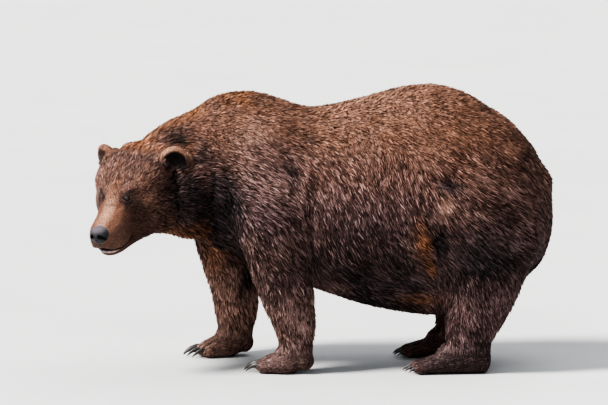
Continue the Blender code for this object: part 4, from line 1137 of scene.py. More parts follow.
def bare_parts(p, z):
    """Shares of nose leather, lip, wet rim of the eyes, hollow and sole on the skin; the hollow is painted shade
    inside the mouth and the nostrils.
    """
    h = z["h"]
    pad = smoothstep(1.10, 1.02, pad_field(h)) * (h[:, 0] > NOSE_AT[0] - 0.035)
    cleft = np.exp(-((h[:, 1] / 0.0060) ** 2)) * smoothstep(-0.118, -0.108, h[:, 2]) * (h[:, 0] > 0.42)
    nose = np.maximum(pad, cleft)
    line = h[:, 2] - mouth_line(h)
    run = smoothstep(0.285, 0.31, h[:, 0]) * (h[:, 0] < 0.52) * (np.abs(h[:, 1]) < 0.115)
    lip = smoothstep(0.0062, 0.0045, np.abs(line + 0.0160)) * run * smoothstep(0.380, 0.415, h[:, 0])
    wide = 0.0050 + 0.0065 * smoothstep(0.375, 0.415, h[:, 0])
    hollow = smoothstep(1.0, 0.65, np.abs(line + 0.001) / wide) * smoothstep(0.31, 0.37, h[:, 0]) * run
    rim = np.zeros(len(p))
    for s in (1, -1):
        e = into(np.array(eye_matrix(s).inverted()), h)
        near = (np.linalg.norm(e, axis=1) < 0.022) & (e[:, 0] > 0)
        rim = np.maximum(rim, smoothstep(0.0030, 0.0014, slit_field(e)) * near)
        hollow = np.maximum(hollow, smoothstep(0.35, 0.75, nostril_field(h, s)))
    sole = smoothstep(0.006, 0.002, p[:, 2])
    return nose, lip, rim, hollow, sole


# ------------------------------------------------------------------------ coat
def surface_samples(mesh, rate, rng):
    """Random points over the mesh, as many for each square metre as rate(points) says."""
    count = len(mesh.polygons)
    tri = np.empty(count * 3, np.int32)
    mesh.polygons.foreach_get("vertices", tri)
    tri = tri.reshape(-1, 3)
    p = coords(mesh)
    n = normals(mesh)
    a, b, c = p[tri[:, 0]], p[tri[:, 1]], p[tri[:, 2]]
    area = 0.5 * np.linalg.norm(np.cross(b - a, c - a), axis=1)
    want = area * rate((a + b + c) / 3)
    n_each = np.floor(want + rng.random(count)).astype(int)
    face = np.repeat(np.arange(count), n_each)
    u, v = rng.random(len(face)), rng.random(len(face))
    flip = u + v > 1
    u[flip], v[flip] = 1 - u[flip], 1 - v[flip]
    w = 1 - u - v
    f = tri[face]
    at = p[f[:, 0]] * w[:, None] + p[f[:, 1]] * u[:, None] + p[f[:, 2]] * v[:, None]
    out = unit(n[f[:, 0]] * w[:, None] + n[f[:, 1]] * u[:, None] + n[f[:, 2]] * v[:, None])
    return at, out


def thinned(p, cell, rng):
    """Keeps at most one point in each cell, the cells' size set by cell at each point."""
    step = np.round(np.log(cell) / 0.10)
    size = np.exp(step * 0.10)
    key = np.floor((p + rng.uniform(0, 1, 3)) / size[:, None]).astype(np.int64)
    code = ((key[:, 0] * 4001 + key[:, 1]) * 4001 + key[:, 2]) * 97 + (step.astype(np.int64) % 97)
    _, first = np.unique(code, return_index=True)
    return np.sort(first)


def turned(v, axis, angle):
    c, s = np.cos(angle)[:, None], np.sin(angle)[:, None]
    return v * c + np.cross(axis, v) * s + axis * (np.sum(axis * v, 1, keepdims=True)) * (1 - c)


def tangent(v, n):
    return unit(v - n * np.sum(v * n, 1, keepdims=True))


def flow(p, n, z):
    """The lie of the coat: the direction in which each tuft runs from its root."""
    x, height = p[:, 0], p[:, 2]
    fall = np.interp(x, (-0.60, -0.42, -0.25, 0.0, 0.30, 0.55, 0.75, 0.95), (16, 26, 42, 54, 60, 48, 38, 34))
    fall = fall + 11 * ripple(p, 0.35, 21, 2)
    a = np.radians(fall)
    body = np.stack([np.cos(a), 0 * a, -np.sin(a)], 1)
    belly = smoothstep(-0.25, -0.75, n[:, 2])[:, None] * smoothstep(0.30, 0.40, height)[:, None]
    body = body * (1 - belly) + np.array([1.0, 0, -0.1]) * belly
    leg = z["leg"][:, None]
    down = np.stack([0.22 + 0 * a, 0 * a, -1 + 0 * a], 1)
    d = body * (1 - leg) + down * leg
    for _, paw in PAWS:
        m = np.array(paw_matrix(paw))
        q = into(np.linalg.inv(m), p)
        near = (smoothstep(0.15, 0.08, height) * (np.abs(q[:, 1]) < 0.16) * (q[:, 0] > -0.16) * (q[:, 0] < 0.36))[:, None]
        toes = np.array(m[:3, 0])[None, :] * np.ones((len(p), 1))
        toes[:, 2] = -0.45
        d = d * (1 - near) + toes * near
    head = z["head"][:, None]
    h = z["h"]
    away = h - np.array([0.475, 0.0, -0.020])
    away = unit(away * np.array([1.0, 0.85, 0.75]))
    away[:, 2] -= 0.30 * smoothstep(0.04, 0.12, np.abs(h[:, 1])) * smoothstep(0.06, -0.02, h[:, 2])
    d = d * (1 - head) + (away @ HEAD[:3, :3].T) * head
    ear = z["ear"][:, None]
    for s in (1, -1):
        e = z["e%d" % s]
        tip = np.stack([0.10 + 0 * a, np.clip(e[:, 1] / 0.05, -1, 1) * 0.7, 1 + 0 * a], 1)
        share = z["ear%d" % s][:, None]
        d = d * (1 - share) + unit(tip @ EARS[s][:3, :3].T) * share
    return tangent(d, n)


def by_zone(z, p, trunk, neck, leg_high, leg_low, paw, nape, cheek, fore, muzzle, ear):
    """A size over the body: one value for each kind of coat, blended from zone to zone."""
    v = np.full(len(p), float(trunk))
    v = v * (1 - z["neck"]) + neck * z["neck"]
    leg = np.interp(p[:, 2], (0.18, 0.55), (leg_low, leg_high))
    v = v * (1 - z["leg"]) + leg * z["leg"]
    v = v * (1 - z["paw"]) + paw * z["paw"]
    h = z["h"]
    top = np.interp(h[:, 0], (-0.06, 0.06, 0.18, 0.27, 0.34), (nape, nape, fore, (fore + muzzle) / 2, muzzle))
    side = np.interp(h[:, 0], (-0.06, 0.10, 0.22, 0.32), (nape, cheek, (cheek + muzzle) / 2, muzzle))
    low = smoothstep(0.05, -0.02, h[:, 2])
    v = v * (1 - z["head"]) + (top * (1 - low) + side * low) * z["head"]
    return v * (1 - z["ear"]) + ear * z["ear"]


def grow(skin_obj, budget, seed):
    """Every tuft of the coat, as arrays: places, directions, sizes, tones."""
    rng = np.random.default_rng(seed)
    mesh = skin_obj.data

    def cell(p, z=None):
        z = z or zones(p)
        return CELL * by_zone(z, p, 0.0068, 0.0066, 0.0064, 0.0058, 0.0048, 0.0054, 0.0047, 0.0042, 0.0033, 0.0036)

    root, n = surface_samples(mesh, lambda q: 2.4 / cell(q) ** 2, rng)
    z = zones(root)
    keep = thinned(root, cell(root, z), rng)
    root, n = root[keep], n[keep]
    z = zones(root)
    nose, lip, rim, hollow, sole = bare_parts(root, z)
    bare = (np.maximum.reduce([nose, lip, rim, hollow]) > 0.25) | (root[:, 2] < 0.006) | ((root[:, 2] < 0.02) & (n[:, 2] < -0.5))
    for s in (1, -1):
        e = into(np.array(eye_matrix(s).inverted()), z["h"])
        bare |= (np.linalg.norm(e, axis=1) < 0.024) & (slit_field(e) < 0.0032) & (e[:, 0] > -0.002)
    keep = ~bare
    root, n = root[keep], n[keep]
    z = zones(root)
    count = len(root)
    d = flow(root, n, z)
    d = turned(d, n, 0.16 * ripple(root, 0.17, 5, 3) + rng.normal(0, 0.07, count))
    long = by_zone(z, root, 0.053, 0.060, 0.048, 0.036, 0.015, 0.040, 0.032, 0.020, 0.0088, 0.017)
    wide = by_zone(z, root, 0.0036, 0.0036, 0.0035, 0.0033, 0.0028, 0.0034, 0.0031, 0.0026, 0.0019, 0.0024)
    pull = by_zone(z, root, 0.50, 0.50, 0.52, 0.50, 0.25, 0.50, 0.52, 0.42, 0.10, 0.15)
    pull = pull * (1 - 0.55 * smoothstep(0.85, 1.10, root[:, 2]))
    belly = smoothstep(-0.2, -0.8, n[:, 2]) * smoothstep(0.32, 0.42, root[:, 2])
    long = long * (1 - 0.28 * smoothstep(0.92, 1.12, root[:, 2]))
    long = long * (1 + 0.25 * belly) * np.exp(rng.normal(0, 0.16, count))
    wide = wide * np.exp(rng.normal(0, 0.18, count))
    h = z["h"]
    for s in (1, -1):
        e = into(np.array(eye_matrix(s).inverted()), h)
        near = smoothstep(0.036, 0.016, np.linalg.norm(e, axis=1))
        long = long * (1 - near) + np.minimum(long, 0.0055) * near
        wide = wide * (1 - near) + np.minimum(wide, 0.0020) * near
    # wet clumps: tufts drawn together toward the tip of a shared lock
    size = by_zone(z, root, 0.018, 0.018, 0.017, 0.016, 0.011, 0.015, 0.014, 0.011, 0.006, 0.008)
    squeezed = root - d * (0.55 * np.sum(root * d, 1))[:, None]
    centres = thinned(squeezed, size, rng)
    tree = KDTree(len(centres))
    for k, i in enumerate(centres):
        tree.insert(squeezed[i], k)
    tree.balance()
    own = np.array([tree.find(q)[1] for q in squeezed])
    mid = centres[own]
    apart = np.nonzero(np.linalg.norm(root - root[mid], axis=1) > 2.3 * size)[0]
    mid[apart] = apart
    lock_tone = rng.random(len(centres))[own]
    offset = root - root[mid]
    offset -= n * np.sum(offset * n, 1, keepdims=True)
    from_middle = np.linalg.norm(offset, axis=1) / size
    lock_long = long[mid] * (0.85 + 0.35 * rng.random(len(centres))[own])
    lock_tip = root[mid] + d[mid] * lock_long[:, None]
    # a curved path over the skin: halfway and tip, both held at their height over the skin
    bend = rng.normal(0, 0.50, count) + 0.8 * rng.normal(0, 1, len(centres))[own]
    deep = depth(root + n * 0.008, z)
    shag = shagginess(root, n, z)
    lift = deep * np.clip(rng.normal(0.78, 0.15, count), 0.40, 1.05)
    lift = np.maximum(lift, 0.0012) + shag * 0.024 * rng.random(count) ** 1.5
    skin_tree = BVHTree.FromPolygons([tuple(v) for v in coords(mesh)], triangles_of(mesh))

    def laid(target, high, normal_at):
        place = np.empty_like(target)
        out = np.empty_like(target)
        for k, q in enumerate(target):
            hit, nn, _, _ = skin_tree.find_nearest(q)
            place[k] = hit
            out[k] = nn
        out = unit(out * 0.6 + normal_at * 0.4)
        return place + out * high[:, None], out

    straight = root + d * long[:, None]
    tip = straight * (1 - pull[:, None]) + (lock_tip + offset * 0.12) * pull[:, None]
    half = root + d * (long * 0.45)[:, None]
    half = half * (1 - 0.35 * pull[:, None]) + (root[mid] + d[mid] * (lock_long * 0.45)[:, None] + offset * 0.75) * 0.35 * pull[:, None]
    half += np.cross(n, d) * (bend * long * 0.050)[:, None]
    tip, n_tip = laid(tip, lift, n)
    half, n_half = laid(half, lift * 0.72, n)
    ran = tip - root
    reach = np.linalg.norm(ran, axis=1)
    stray = (np.sum(ran * d, 1) < 0.62 * reach) | (reach > 1.45 * long) | (reach < 0.35 * long)
    # each tuft's tone: random by lock and by tuft, and lighter toward the lock's middle as painted highlight on the
    # wet lock's ridge, with painted shade in the gaps between locks
    tone = 0.34 * lock_tone + 0.44 * rng.random(count) + 0.22 * (1 - np.clip(from_middle * 1.2, 0, 1))
    tone += 0.06 * ripple(root, 0.15, 41, 3)
    calm = by_zone(z, root, 1.55, 1.40, 1.45, 1.45, 1.0, 1.35, 1.45, 1.30, 0.60, 0.9)
    calm = calm * (1 - 0.58 * smoothstep(0.90, 1.12, root[:, 2]))
    tone = 0.5 + (tone - 0.5) * calm
    grown = {"root": root, "n": n, "half": half, "n_half": n_half, "tip": tip, "n_tip": n_tip, "wide": wide, "tone": np.clip(tone, 0, 1),
             "lean": rng.normal(0, 0.16, (count, 3)),
             "marks_and_light_at": root + d * (long * 0.5)[:, None] + n * deep[:, None]}
    grown = {key: value[~stray] for key, value in grown.items()}
    grown["z"] = {key: value[~stray] for key, value in z.items()}
    return grown


def shagginess(p, n, z):
    """How far the coat's tips stand away from the body: the backs of the legs, the
    throat, the cheeks' ruff and the ears' rims."""
    s = 0.12 + 0.55 * z["leg"] * smoothstep(0.12, 0.22, p[:, 2]) * smoothstep(-0.1, 0.8, n[:, 0])
    s = np.maximum(s, 0.45 * z["leg"] * smoothstep(0.12, 0.22, p[:, 2]))
    h = z["h"]
    under = smoothstep(-0.2, -0.7, n[:, 2])
    s = np.maximum(s, 0.75 * under * smoothstep(0.28, 0.15, h[:, 0]) * smoothstep(-0.45, -0.6, p[:, 0]))
    s = np.maximum(s, 0.35 * under * smoothstep(0.30, 0.40, p[:, 2]))
    s = s * (1 - z["head"]) + z["head"] * np.interp(h[:, 0], (0.0, 0.15, 0.28, 0.34), (0.35, 0.22, 0.06, 0.03)) * (1 + 3.2 * under)
    return s * (1 - z["ear"]) + 0.30 * z["ear"]


def triangles_of(mesh):
    tri = np.empty(len(mesh.polygons) * 3, np.int32)
    mesh.polygons.foreach_get("vertices", tri)
    return tri.reshape(-1, 3).tolist()


TUFT_FACES = ((0, 1, 2), (2, 1, 3), (0, 3, 1), (3, 0, 2))
TUFT_PATCH = ((0.5, 0.0), (0.0, 0.4), (1.0, 0.4), (0.5, 1.0))


def tuft_piece(name, t, pick, place, marks_and_light):
    """One coat piece: a thin closed tuft for each root picked, joined as one mesh."""
    root, n, half, n_half, tip = (t[k][pick] for k in ("root", "n", "half", "n_half", "tip"))
    count = len(root)
    side = unit(np.cross(n_half, unit(tip - root)))
    pts = np.empty((count, 4, 3))
    w = t["wide"][pick][:, None]
    pts[:, 0] = root - n * 0.0016
    # the middle stands over the line from root to tip, so that the tuft has a body
    over = np.sum((half - pts[:, 0] * 0.55 - tip * 0.45) * n_half, 1)
    half = half + n_half * np.maximum(0.0008 - over, 0)[:, None]
    pts[:, 1] = half - side * w * 0.5
    pts[:, 2] = half + side * w * 0.5
    pts[:, 3] = tip
    faces = (np.array(TUFT_FACES)[None] + (np.arange(count) * 4)[:, None, None]).reshape(-1, 3)
    mesh = bpy.data.meshes.new(name)
    mesh.vertices.add(count * 4)
    pts[:, :, 2] = np.maximum(pts[:, :, 2], 0.0004)
    mesh.vertices.foreach_set("co", pts.astype(np.float32).ravel())
    mesh.loops.add(len(faces) * 3)
    mesh.polygons.add(len(faces))
    mesh.polygons.foreach_set("loop_start", np.arange(0, len(faces) * 3, 3, dtype=np.int32))
    mesh.loops.foreach_set("vertex_index", faces.astype(np.int32).ravel())
    mesh.update(calc_edges=True)
    for key, value in zip(MARKS_AND_LIGHT + ("tone",), [m[pick] for m in marks_and_light] + [t["tone"][pick]]):
        attribute(mesh, key, np.repeat(value, 4))
    attribute(mesh, "along", np.tile((0.0, 0.45, 0.45, 1.0), count))
    attribute(mesh, "across", np.tile((0.0, -1.0, 1.0, 0.0), count))
    uv = mesh.uv_layers.new(name="OFBake")
    patch = place[pick][:, None, :] + np.array(TUFT_PATCH)[None] * 0.0030
    uv.data.foreach_set("uv", patch.reshape(-1, 2)[faces.ravel()].astype(np.float32).ravel())
    mesh.validate()
    mesh.shade_smooth()
    # lit as strands of one coat: normals near the body's own, turned out to each side
    facing = np.stack([n, unit(n_half - side * 0.55), unit(n_half + side * 0.55), unit(t["n_tip"][pick] + 0.25 * unit(tip - half))], 1)
    facing += t["lean"][pick][:, None, :]
    mesh.normals_split_custom_set_from_vertices(unit(facing).reshape(-1, 3))
    obj = bpy.data.objects.new(name, mesh)
    bpy.context.scene.collection.objects.link(obj)
    return obj


def unwrapped(u, v):
    """Places on a map for points with a way along u and a way round v: evened out, so
    that no two lie closer than a cell of the map."""
    count = len(u)
    columns = int(math.ceil(math.sqrt(count)))
    order = np.argsort(u, kind="stable")
    column = np.empty(count, int)
    column[order] = np.arange(count) // columns
    row = np.empty(count, int)
    for c in range(column.max() + 1):
        at = np.nonzero(column == c)[0]
        row[at[np.argsort(v[at], kind="stable")]] = np.arange(len(at))
    return np.stack([column, row], 1) * (0.99 / columns) + 0.003


def coat_pieces(t):
    """The tufts, shared out to pieces of the body and laid on each piece's own unwrap."""
    root, z = t["root"], t["z"]
    marks_and_light = markings_and_painted_light(t["marks_and_light_at"], t["n"], zones(t["marks_and_light_at"]))
    h = z["h"]
    region = np.full(len(root), "trunk", dtype="<U12")
    region[z["neck"] > 0.5] = "neck"
    lower = (root[:, 2] < 0.47) & (z["leg"] > 0.35)
    region[lower & (root[:, 0] < 0.1)] = "forelegs"
    region[lower & (root[:, 0] >= 0.1)] = "hindlegs"
    region[z["head"] > 0.5] = "head"
    along = {"trunk": root[:, 0], "neck": root[:, 0], "forelegs": root[:, 2] + 10 * (root[:, 1] > 0), "hindlegs": root[:, 2] + 10 * (root[:, 1] > 0), "head": h[:, 0]}
    around = {
        "trunk": np.arctan2(root[:, 1], root[:, 2] - 0.75),
        "neck": np.arctan2(root[:, 1], root[:, 2] - 0.92),
        "forelegs": np.arctan2(root[:, 1] - np.where(root[:, 1] > 0, 0.24, -0.22), root[:, 0] - np.where(root[:, 1] > 0, -0.40, -0.20)),
        "hindlegs": np.arctan2(root[:, 1] - np.where(root[:, 1] > 0, 0.24, -0.20), root[:, 0] - 0.66),
        "head": np.arctan2(h[:, 1], h[:, 2] + 0.05),
    }
    pieces = []
    for name in ("trunk", "neck", "forelegs", "hindlegs", "head"):
        at = np.nonzero(region == name)[0]
        parts = int(math.ceil(len(at) / 49000))
        order = at[np.argsort(along[name][at], kind="stable")]
        for k, pick in enumerate(np.array_split(order, parts)):
            place = np.zeros((len(root), 2))
            place[pick] = unwrapped(along[name][pick], around[name][pick])
            pieces.append(tuft_piece("coat_%s_%d" % (name, k + 1), t, np.sort(pick), place, marks_and_light))
    return pieces


# ------------------------------------------------------------------- materials
class Nodes:
    """Short calls for a material's nodes."""

    def __init__(self, name, **sockets):
        self.material = bpy.data.materials.new(name)
        self.material.use_nodes = True
        self.tree = self.material.node_tree
        self.shader = self.tree.nodes["Principled BSDF"]
        for key, value in sockets.items():
            self.shader.inputs[key.replace("_", " ")].default_value = value

    def make(self, kind, **settings):
        node = self.tree.nodes.new(kind)
        for key, value in settings.items():
            setattr(node, key, value)
        return node

    def link(self, source, target):
        if isinstance(source, (int, float)):
            target.default_value = source
        elif isinstance(source, tuple):
            target.default_value = (*source, 1.0)[: len(target.default_value)]
        else:
            self.tree.links.new(source, target)

    def value(self, name):
        return self.make("ShaderNodeAttribute", attribute_name=name).outputs["Fac"]

    def math(self, operation, a, b=0.0, c=0.0, clamp=False):
        node = self.make("ShaderNodeMath", operation=operation, use_clamp=clamp)
        for k, source in enumerate((a, b, c)):
            self.link(source, node.inputs[k])
        return node.outputs[0]

    def ramp(self, source, low, high, out_low=0.0, out_high=1.0):
        node = self.make("ShaderNodeMapRange", clamp=True)
        for k, v in enumerate((source, low, high, out_low, out_high)):
            self.link(v, node.inputs[k])
        return node.outputs[0]

    def mix(self, share, a, b, kind="MIX"):
        node = self.make("ShaderNodeMix", data_type="RGBA", blend_type=kind)
        self.link(share, node.inputs[0])
        self.link(a, node.inputs[6])
        self.link(b, node.inputs[7])
        return node.outputs[2]

    def place(self, stretch=(1, 1, 1)):
        coordinates = self.make("ShaderNodeTexCoord").outputs["Object"]
        node = self.make("ShaderNodeMapping")
        self.tree.links.new(coordinates, node.inputs["Vector"])
        node.inputs["Scale"].default_value = stretch
        return node.outputs[0]

    def noise(self, scale, detail=3.0, at=None, rough=0.55):
        node = self.make("ShaderNodeTexNoise")
        node.inputs["Scale"].default_value = scale
        node.inputs["Detail"].default_value = detail
        node.inputs["Roughness"].default_value = rough
        self.tree.links.new(at or self.place(), node.inputs["Vector"])
        return node.outputs["Fac"]

    def cells(self, scale, at=None, feature="DISTANCE_TO_EDGE"):
        node = self.make("ShaderNodeTexVoronoi", feature=feature)
        node.inputs["Scale"].default_value = scale
        self.tree.links.new(at or self.place(), node.inputs["Vector"])
        return node.outputs["Distance"]

    def bump(self, height, strength, distance, before=None):
        node = self.make("ShaderNodeBump")
        node.inputs["Strength"].default_value = strength
        node.inputs["Distance"].default_value = distance
        self.tree.links.new(height, node.inputs["Height"])
        if before:
            self.tree.links.new(before, node.inputs["Normal"])
        return node.outputs["Normal"]


BROWN = (0.080, 0.0405, 0.0325)
CHOCOLATE = (0.0135, 0.0090, 0.0082)
GOLD = (0.165, 0.064, 0.026)
TAN = (0.285, 0.152, 0.100)
GLINT = (0.115, 0.080, 0.068)
# COOL: the multiplier for cool, the painted blue cast of shade and sky sheen, and a bluer coat on legs and flank
COOL = (0.93, 1.05, 1.32)


def coat_colour(m, tone, along):
    """The coat's colour from its dark, warm, pale and cool shares, which carry its own colour with painted shade and
    painted light, the same for the skin and the tufts.
    """
    patchy = m.noise(9.0, 3.0)
    dark = m.math("ADD", m.value("dark"), m.ramp(patchy, 0.35, 0.65, -0.04, 0.04), clamp=True)
    # the brightest tufts keep some brown even in dark areas, as painted highlight
    dark = m.math("MULTIPLY", dark, m.ramp(tone, 0.62, 1.0, 1.0, 0.80))
    warm = m.math("MULTIPLY", m.value("warm"), m.ramp(m.noise(16.0, 2.0), 0.3, 0.7, 0.55, 1.15), clamp=True)
    colour = m.mix(warm, BROWN, GOLD)
    colour = m.mix(m.value("pale"), colour, TAN)
    # painted glints: the brightest tufts are mixed toward the neutral GLINT colour, standing for the sky's highlight
    # on wet hair
    glint = m.math("MULTIPLY", m.ramp(tone, 0.60, 1.0, 0.0, 0.45), m.ramp(m.value("warm"), 0.2, 0.7, 1.0, 0.2))
    colour = m.mix(glint, colour, GLINT)
    colour = m.mix(dark, colour, CHOCOLATE)
    colour = m.mix(m.value("cool"), colour, COOL, "MULTIPLY")
    bright = m.math("ADD", m.math("MULTIPLY", m.math("POWER", tone, 2.0), 2.7), 0.20)
    # roots darker and tips lighter: partly the coat's darker underfur, partly painted shade deep in the coat
    shade = m.math("MULTIPLY", bright, m.ramp(along, 0.0, 0.9, 0.32, 1.22))
    shade = m.math("MULTIPLY", shade, m.ramp(m.noise(230.0, 2.0), 0.3, 0.7, 0.85, 1.15))
    return m.mix(1.0, colour, m.grey(shade), "MULTIPLY")


def grey(self, value):
    node = self.make("ShaderNodeCombineColor")
    for k in range(3):
        self.tree.links.new(value, node.inputs[k])
    return node.outputs[0]


Nodes.grey = grey


def coat_material():
    m = Nodes("coat_fur", Roughness=0.55, Specular_IOR_Level=0.15, Sheen_Weight=0.04, Sheen_Roughness=0.40)
    m.shader.inputs["Sheen Tint"].default_value = (0.85, 0.55, 0.42, 1.0)
    along = m.value("along")
    strand = m.noise(1.0, 2.0, strand_place(m))
    tone = m.math("ADD", m.value("tone"), m.ramp(strand, 0.3, 0.7, -0.18, 0.18), clamp=True)
    m.link(coat_colour(m, tone, along), m.shader.inputs["Base Color"])
    gloss = m.ramp(m.value("tone"), 0.0, 1.0, 0.68, 0.48)
    m.link(m.math("ADD", gloss, m.math("MULTIPLY", m.value("dark"), 0.22)), m.shader.inputs["Roughness"])
    m.link(m.bump(strand, 0.5, 0.0006), m.shader.inputs["Normal"])
    return m.material


def strand_place(m):
    """Coordinates that vary across a tuft and not along it, so that noise reads as hairs."""
    node = m.make("ShaderNodeCombineXYZ")
    m.link(m.math("MULTIPLY", m.value("across"), 2.2), node.inputs[0])
    m.link(m.math("MULTIPLY", m.value("tone"), 61.0), node.inputs[1])
    m.link(m.math("MULTIPLY", m.value("along"), 0.8), node.inputs[2])
    return node.outputs[0]


def skin_material():
    m = Nodes("skin", Roughness=0.60, Specular_IOR_Level=0.35)
    short = m.value("short")
    hair = m.noise(420.0, 3.0)
    tone = m.ramp(hair, 0.3, 0.7, 0.30, 0.80)
    colour = coat_colour(m, tone, short)
    leather = m.cells(430.0)
    leather_shade = m.ramp(leather, 0.0, 0.16, 0.45, 1.0)
    nose = m.mix(m.ramp(m.noise(60.0), 0.35, 0.65), (0.0045, 0.0040, 0.0050), (0.010, 0.009, 0.011))
    # bridge: the nose's top painted lighter and lilac, as the sky's reflection on it
    nose = m.mix(m.value("bridge"), nose, (0.072, 0.057, 0.070))
    nose = m.mix(1.0, nose, m.grey(leather_shade), "MULTIPLY")
    # the lower lip's pale pink: partly its own colour, partly painted wet shine
    lip = m.mix(m.ramp(m.noise(90.0), 0.4, 0.6), (0.16, 0.11, 0.105), (0.36, 0.27, 0.25))
    colour = m.mix(m.value("sole"), colour, (0.030, 0.024, 0.022))
    colour = m.mix(m.value("lip"), colour, lip)
    colour = m.mix(m.value("nose"), colour, nose)
    colour = m.mix(m.value("rim"), colour, (0.012, 0.010, 0.010))
    # painted shade, near black, inside the mouth and the nostrils
    colour = m.mix(m.value("hollow"), colour, (0.004, 0.003, 0.003))
    m.link(colour, m.shader.inputs["Base Color"])
    rough = m.math("SUBTRACT", 0.68, m.math("MULTIPLY", m.value("nose"), 0.22))
    rough = m.math("SUBTRACT", rough, m.math("MULTIPLY", m.value("rim"), 0.40))
    rough = m.math("SUBTRACT", rough, m.math("MULTIPLY", m.value("lip"), 0.34))
    m.link(rough, m.shader.inputs["Roughness"])
    relief = m.math("MULTIPLY", m.ramp(leather, 0.0, 0.20), m.value("nose"))
    relief = m.math("ADD", relief, m.math("MULTIPLY", hair, 0.6))
    m.link(m.bump(relief, 0.55, 0.0010), m.shader.inputs["Normal"])
    return m.material


def eye_material():
    m = Nodes("eye", Roughness=0.18, Specular_IOR_Level=0.5, Coat_Weight=1.0, Coat_Roughness=0.02)
    ring = m.value("ring")
    spokes = m.make("ShaderNodeCombineXYZ")
    m.link(m.math("MULTIPLY", m.value("turn"), 9.0), spokes.inputs[0])
    m.link(m.math("MULTIPLY", ring, 2.0), spokes.inputs[1])
    fibre = m.noise(1.6, 3.0, spokes.outputs[0])
    iris = m.mix(m.ramp(fibre, 0.3, 0.7), (0.020, 0.010, 0.005), (0.085, 0.042, 0.018))
    iris = m.mix(m.ramp(ring, 0.50, 0.64), iris, (0.006, 0.004, 0.003))
    white = m.mix(m.ramp(m.noise(300.0), 0.4, 0.7), (0.10, 0.075, 0.060), (0.17, 0.11, 0.09))
    colour = m.mix(m.ramp(ring, 0.24, 0.27), (0.002, 0.002, 0.002), iris)
    colour = m.mix(m.ramp(ring, 0.72, 0.80), colour, white)
    m.link(colour, m.shader.inputs["Base Color"])
    m.link(m.ramp(fibre, 0.0, 1.0, 0.14, 0.26), m.shader.inputs["Roughness"])
    return m.material


def claw_material():
    m = Nodes("claw", Roughness=0.35, Specular_IOR_Level=0.5)
    along = m.value("along")
    grain = m.noise(1.0, 4.0, m.place((60, 60, 420)))
    colour = m.mix(m.ramp(along, 0.35, 1.0), (0.008, 0.0065, 0.006), (0.024, 0.017, 0.014))
    colour = m.mix(m.ramp(grain, 0.40, 0.65, 0.0, 0.6), colour, (0.024, 0.018, 0.014))
    m.link(colour, m.shader.inputs["Base Color"])
    m.link(m.ramp(grain, 0.3, 0.7, 0.42, 0.60), m.shader.inputs["Roughness"])
    m.link(m.bump(grain, 0.35, 0.0006), m.shader.inputs["Normal"])
    return m.material


def floor_material():
    m = Nodes("floor", Roughness=0.75, Specular_IOR_Level=0.25)
    m.link(m.mix(m.ramp(m.noise(1.3, 4.0), 0.3, 0.7), (0.37, 0.366, 0.362), (0.40, 0.396, 0.390)), m.shader.inputs["Base Color"])
    m.link(m.ramp(m.noise(14.0, 4.0), 0.3, 0.7, 0.70, 0.82), m.shader.inputs["Roughness"])
    return m.material


# ----------------------------------------------------------------- the assembly
skin = finish_skin()
eyes = {s: eyeball(s) for s in (1, -1)}
FEET = (
    ("front", "left", FRONT_PAW_LEFT, FRONT_CLAW, 0.172, 0.036, 1.6),
    ("front", "right", FRONT_PAW_RIGHT, FRONT_CLAW, 0.172, 0.036, 1.6),
    ("hind", "left", HIND_PAW_LEFT, HIND_CLAW, 0.272, 0.028, 1.0),
    ("hind", "right", HIND_PAW_RIGHT, HIND_CLAW, 0.272, 0.028, 1.0),
)
claw_sets = {(a, b): foot_claws("claws_%s_%s" % (a, b), paw, shape, reach, height, spread) for a, b, paw, shape, reach, height, spread in FEET}

p_skin = coords(skin.data)
n_skin = normals(skin.data)
z_skin = zones(p_skin)
for key, value in zip(MARKS_AND_LIGHT, markings_and_painted_light(p_skin, n_skin, z_skin)):
    attribute(skin.data, key, value)
# bridge: where the nose's top takes its painted sky reflection
attribute(skin.data, "bridge", smoothstep(-0.018, 0.004, z_skin["h"][:, 2] + 0.10 * (0.455 - z_skin["h"][:, 0])))
for key, value in zip(("nose", "lip", "rim", "hollow", "sole"), bare_parts(p_skin, z_skin)):
    attribute(skin.data, key, value)
# how short the coat is here: the skin is darker where the coat is long, partly as dark underfur and partly as painted
# shade beneath the coat
attribute(skin.data, "short", by_zone(z_skin, p_skin, 0.15, 0.15, 0.25, 0.35, 0.5, 0.3, 0.35, 0.5, 0.75, 0.5))
skin.data.shade_smooth()
skin.data.materials.clear()
skin.data.materials.append(skin_material())
coat = coat_pieces(grow(skin, 0, SEED)) if COAT else []
fur = coat_material()
for piece in coat:
    piece.data.materials.append(fur)
eye_finish, claw_finish = eye_material(), claw_material()
for piece in eyes.values():
    piece.data.materials.clear()
    piece.data.materials.append(eye_finish)
for piece in claw_sets.values():
    piece.data.materials.clear()
    piece.data.materials.append(claw_finish)

shift = Matrix.Translation(Vector(SHIFT))
for piece in [skin, *coat, *eyes.values(), *claw_sets.values()]:
    piece.data.transform(shift)
    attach(piece, "root")

FLESH = [n for n in frame["nodes"] if "claw" not in n and not n.startswith("eye")]
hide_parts(*FLESH)
for s, piece in eyes.items():
    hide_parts("eye_left" if s > 0 else "eye_right")
for (a, b), piece in claw_sets.items():
    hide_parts(*["%s_claw_%s_%d" % (a, b, k) for k in range(1, 6)])


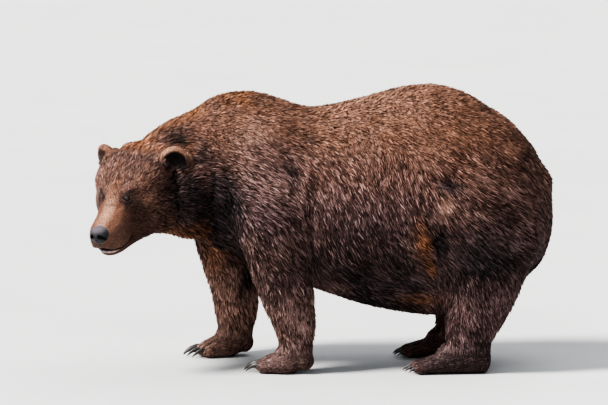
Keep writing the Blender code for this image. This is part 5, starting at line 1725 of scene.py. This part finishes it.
# ------------------------------------------------------------ floor, light, view
def studio_floor():
    """A round floor, wide enough for every view, that rises a little far behind the bear."""
    bm = bmesh.new()
    turn = [2 * math.pi * k / 96 for k in range(96)]
    profile = [(26 + 16 * k / 12, 1.2 * (k / 12) ** 2 * (3 - k / 6)) for k in range(13)] + [(120.0, 1.2)]
    rings = [[bm.verts.new((r * math.cos(a), r * math.sin(a), z)) for a in turn] for r, z in profile]
    bm.faces.new(rings[0])
    for low, high in zip(rings, rings[1:]):
        for k in range(96):
            bm.faces.new((low[k - 1], low[k], high[k], high[k - 1])).smooth = True
    obj = add_object("studio_floor", bm)
    obj.data.materials.append(floor_material())


def sun_light(name, at, angle, strength, colour):
    light = bpy.data.lights.new(name, "SUN")
    light.angle = math.radians(angle)
    light.energy = strength
    light.color = colour
    obj = bpy.data.objects.new(name, light)
    obj.location = at
    obj.rotation_euler = (-Vector(at)).to_track_quat("-Z", "Y").to_euler()
    bpy.context.scene.collection.objects.link(obj)


studio_floor()
sun_light("key", (-4.6, -2.1, 5.8), 14.0, 10.5, (1.0, 0.985, 0.96))
sun_light("fill", (-1.0, -5.0, 2.6), 60.0, 1.0, (0.96, 0.98, 1.0))
sun_light("top", (1.0, 2.0, 6.0), 60.0, 2.0, (0.96, 0.98, 1.0))
world = bpy.data.worlds.new("studio")
world.use_nodes = True
world.node_tree.nodes["Background"].inputs["Color"].default_value = (0.86, 0.91, 1.0, 1.0)
world.node_tree.nodes["Background"].inputs["Strength"].default_value = 0.58
bpy.context.scene.world = world
bpy.context.scene.view_settings.look = "AgX - High Contrast"

camera = bpy.data.objects.new("camera", bpy.data.cameras.new("camera"))
camera.data.sensor_width = 36.0
camera.data.lens = 781.5
look = Vector((-0.0727, 0.0, 0.7455)) + Vector(SHIFT)
lift = math.radians(9.0)
camera.location = look + 60.0 * Vector((0, -math.cos(lift), math.sin(lift)))
camera.rotation_euler = (look - camera.location).to_track_quat("-Z", "Y").to_euler()
camera.data.clip_end = 300.0
bpy.context.scene.collection.objects.link(camera)
bpy.context.scene.camera = camera

print("SKIN", len(skin.data.polygons), "COAT", [len(c.data.polygons) for c in coat], sum(len(c.data.polygons) for c in coat))
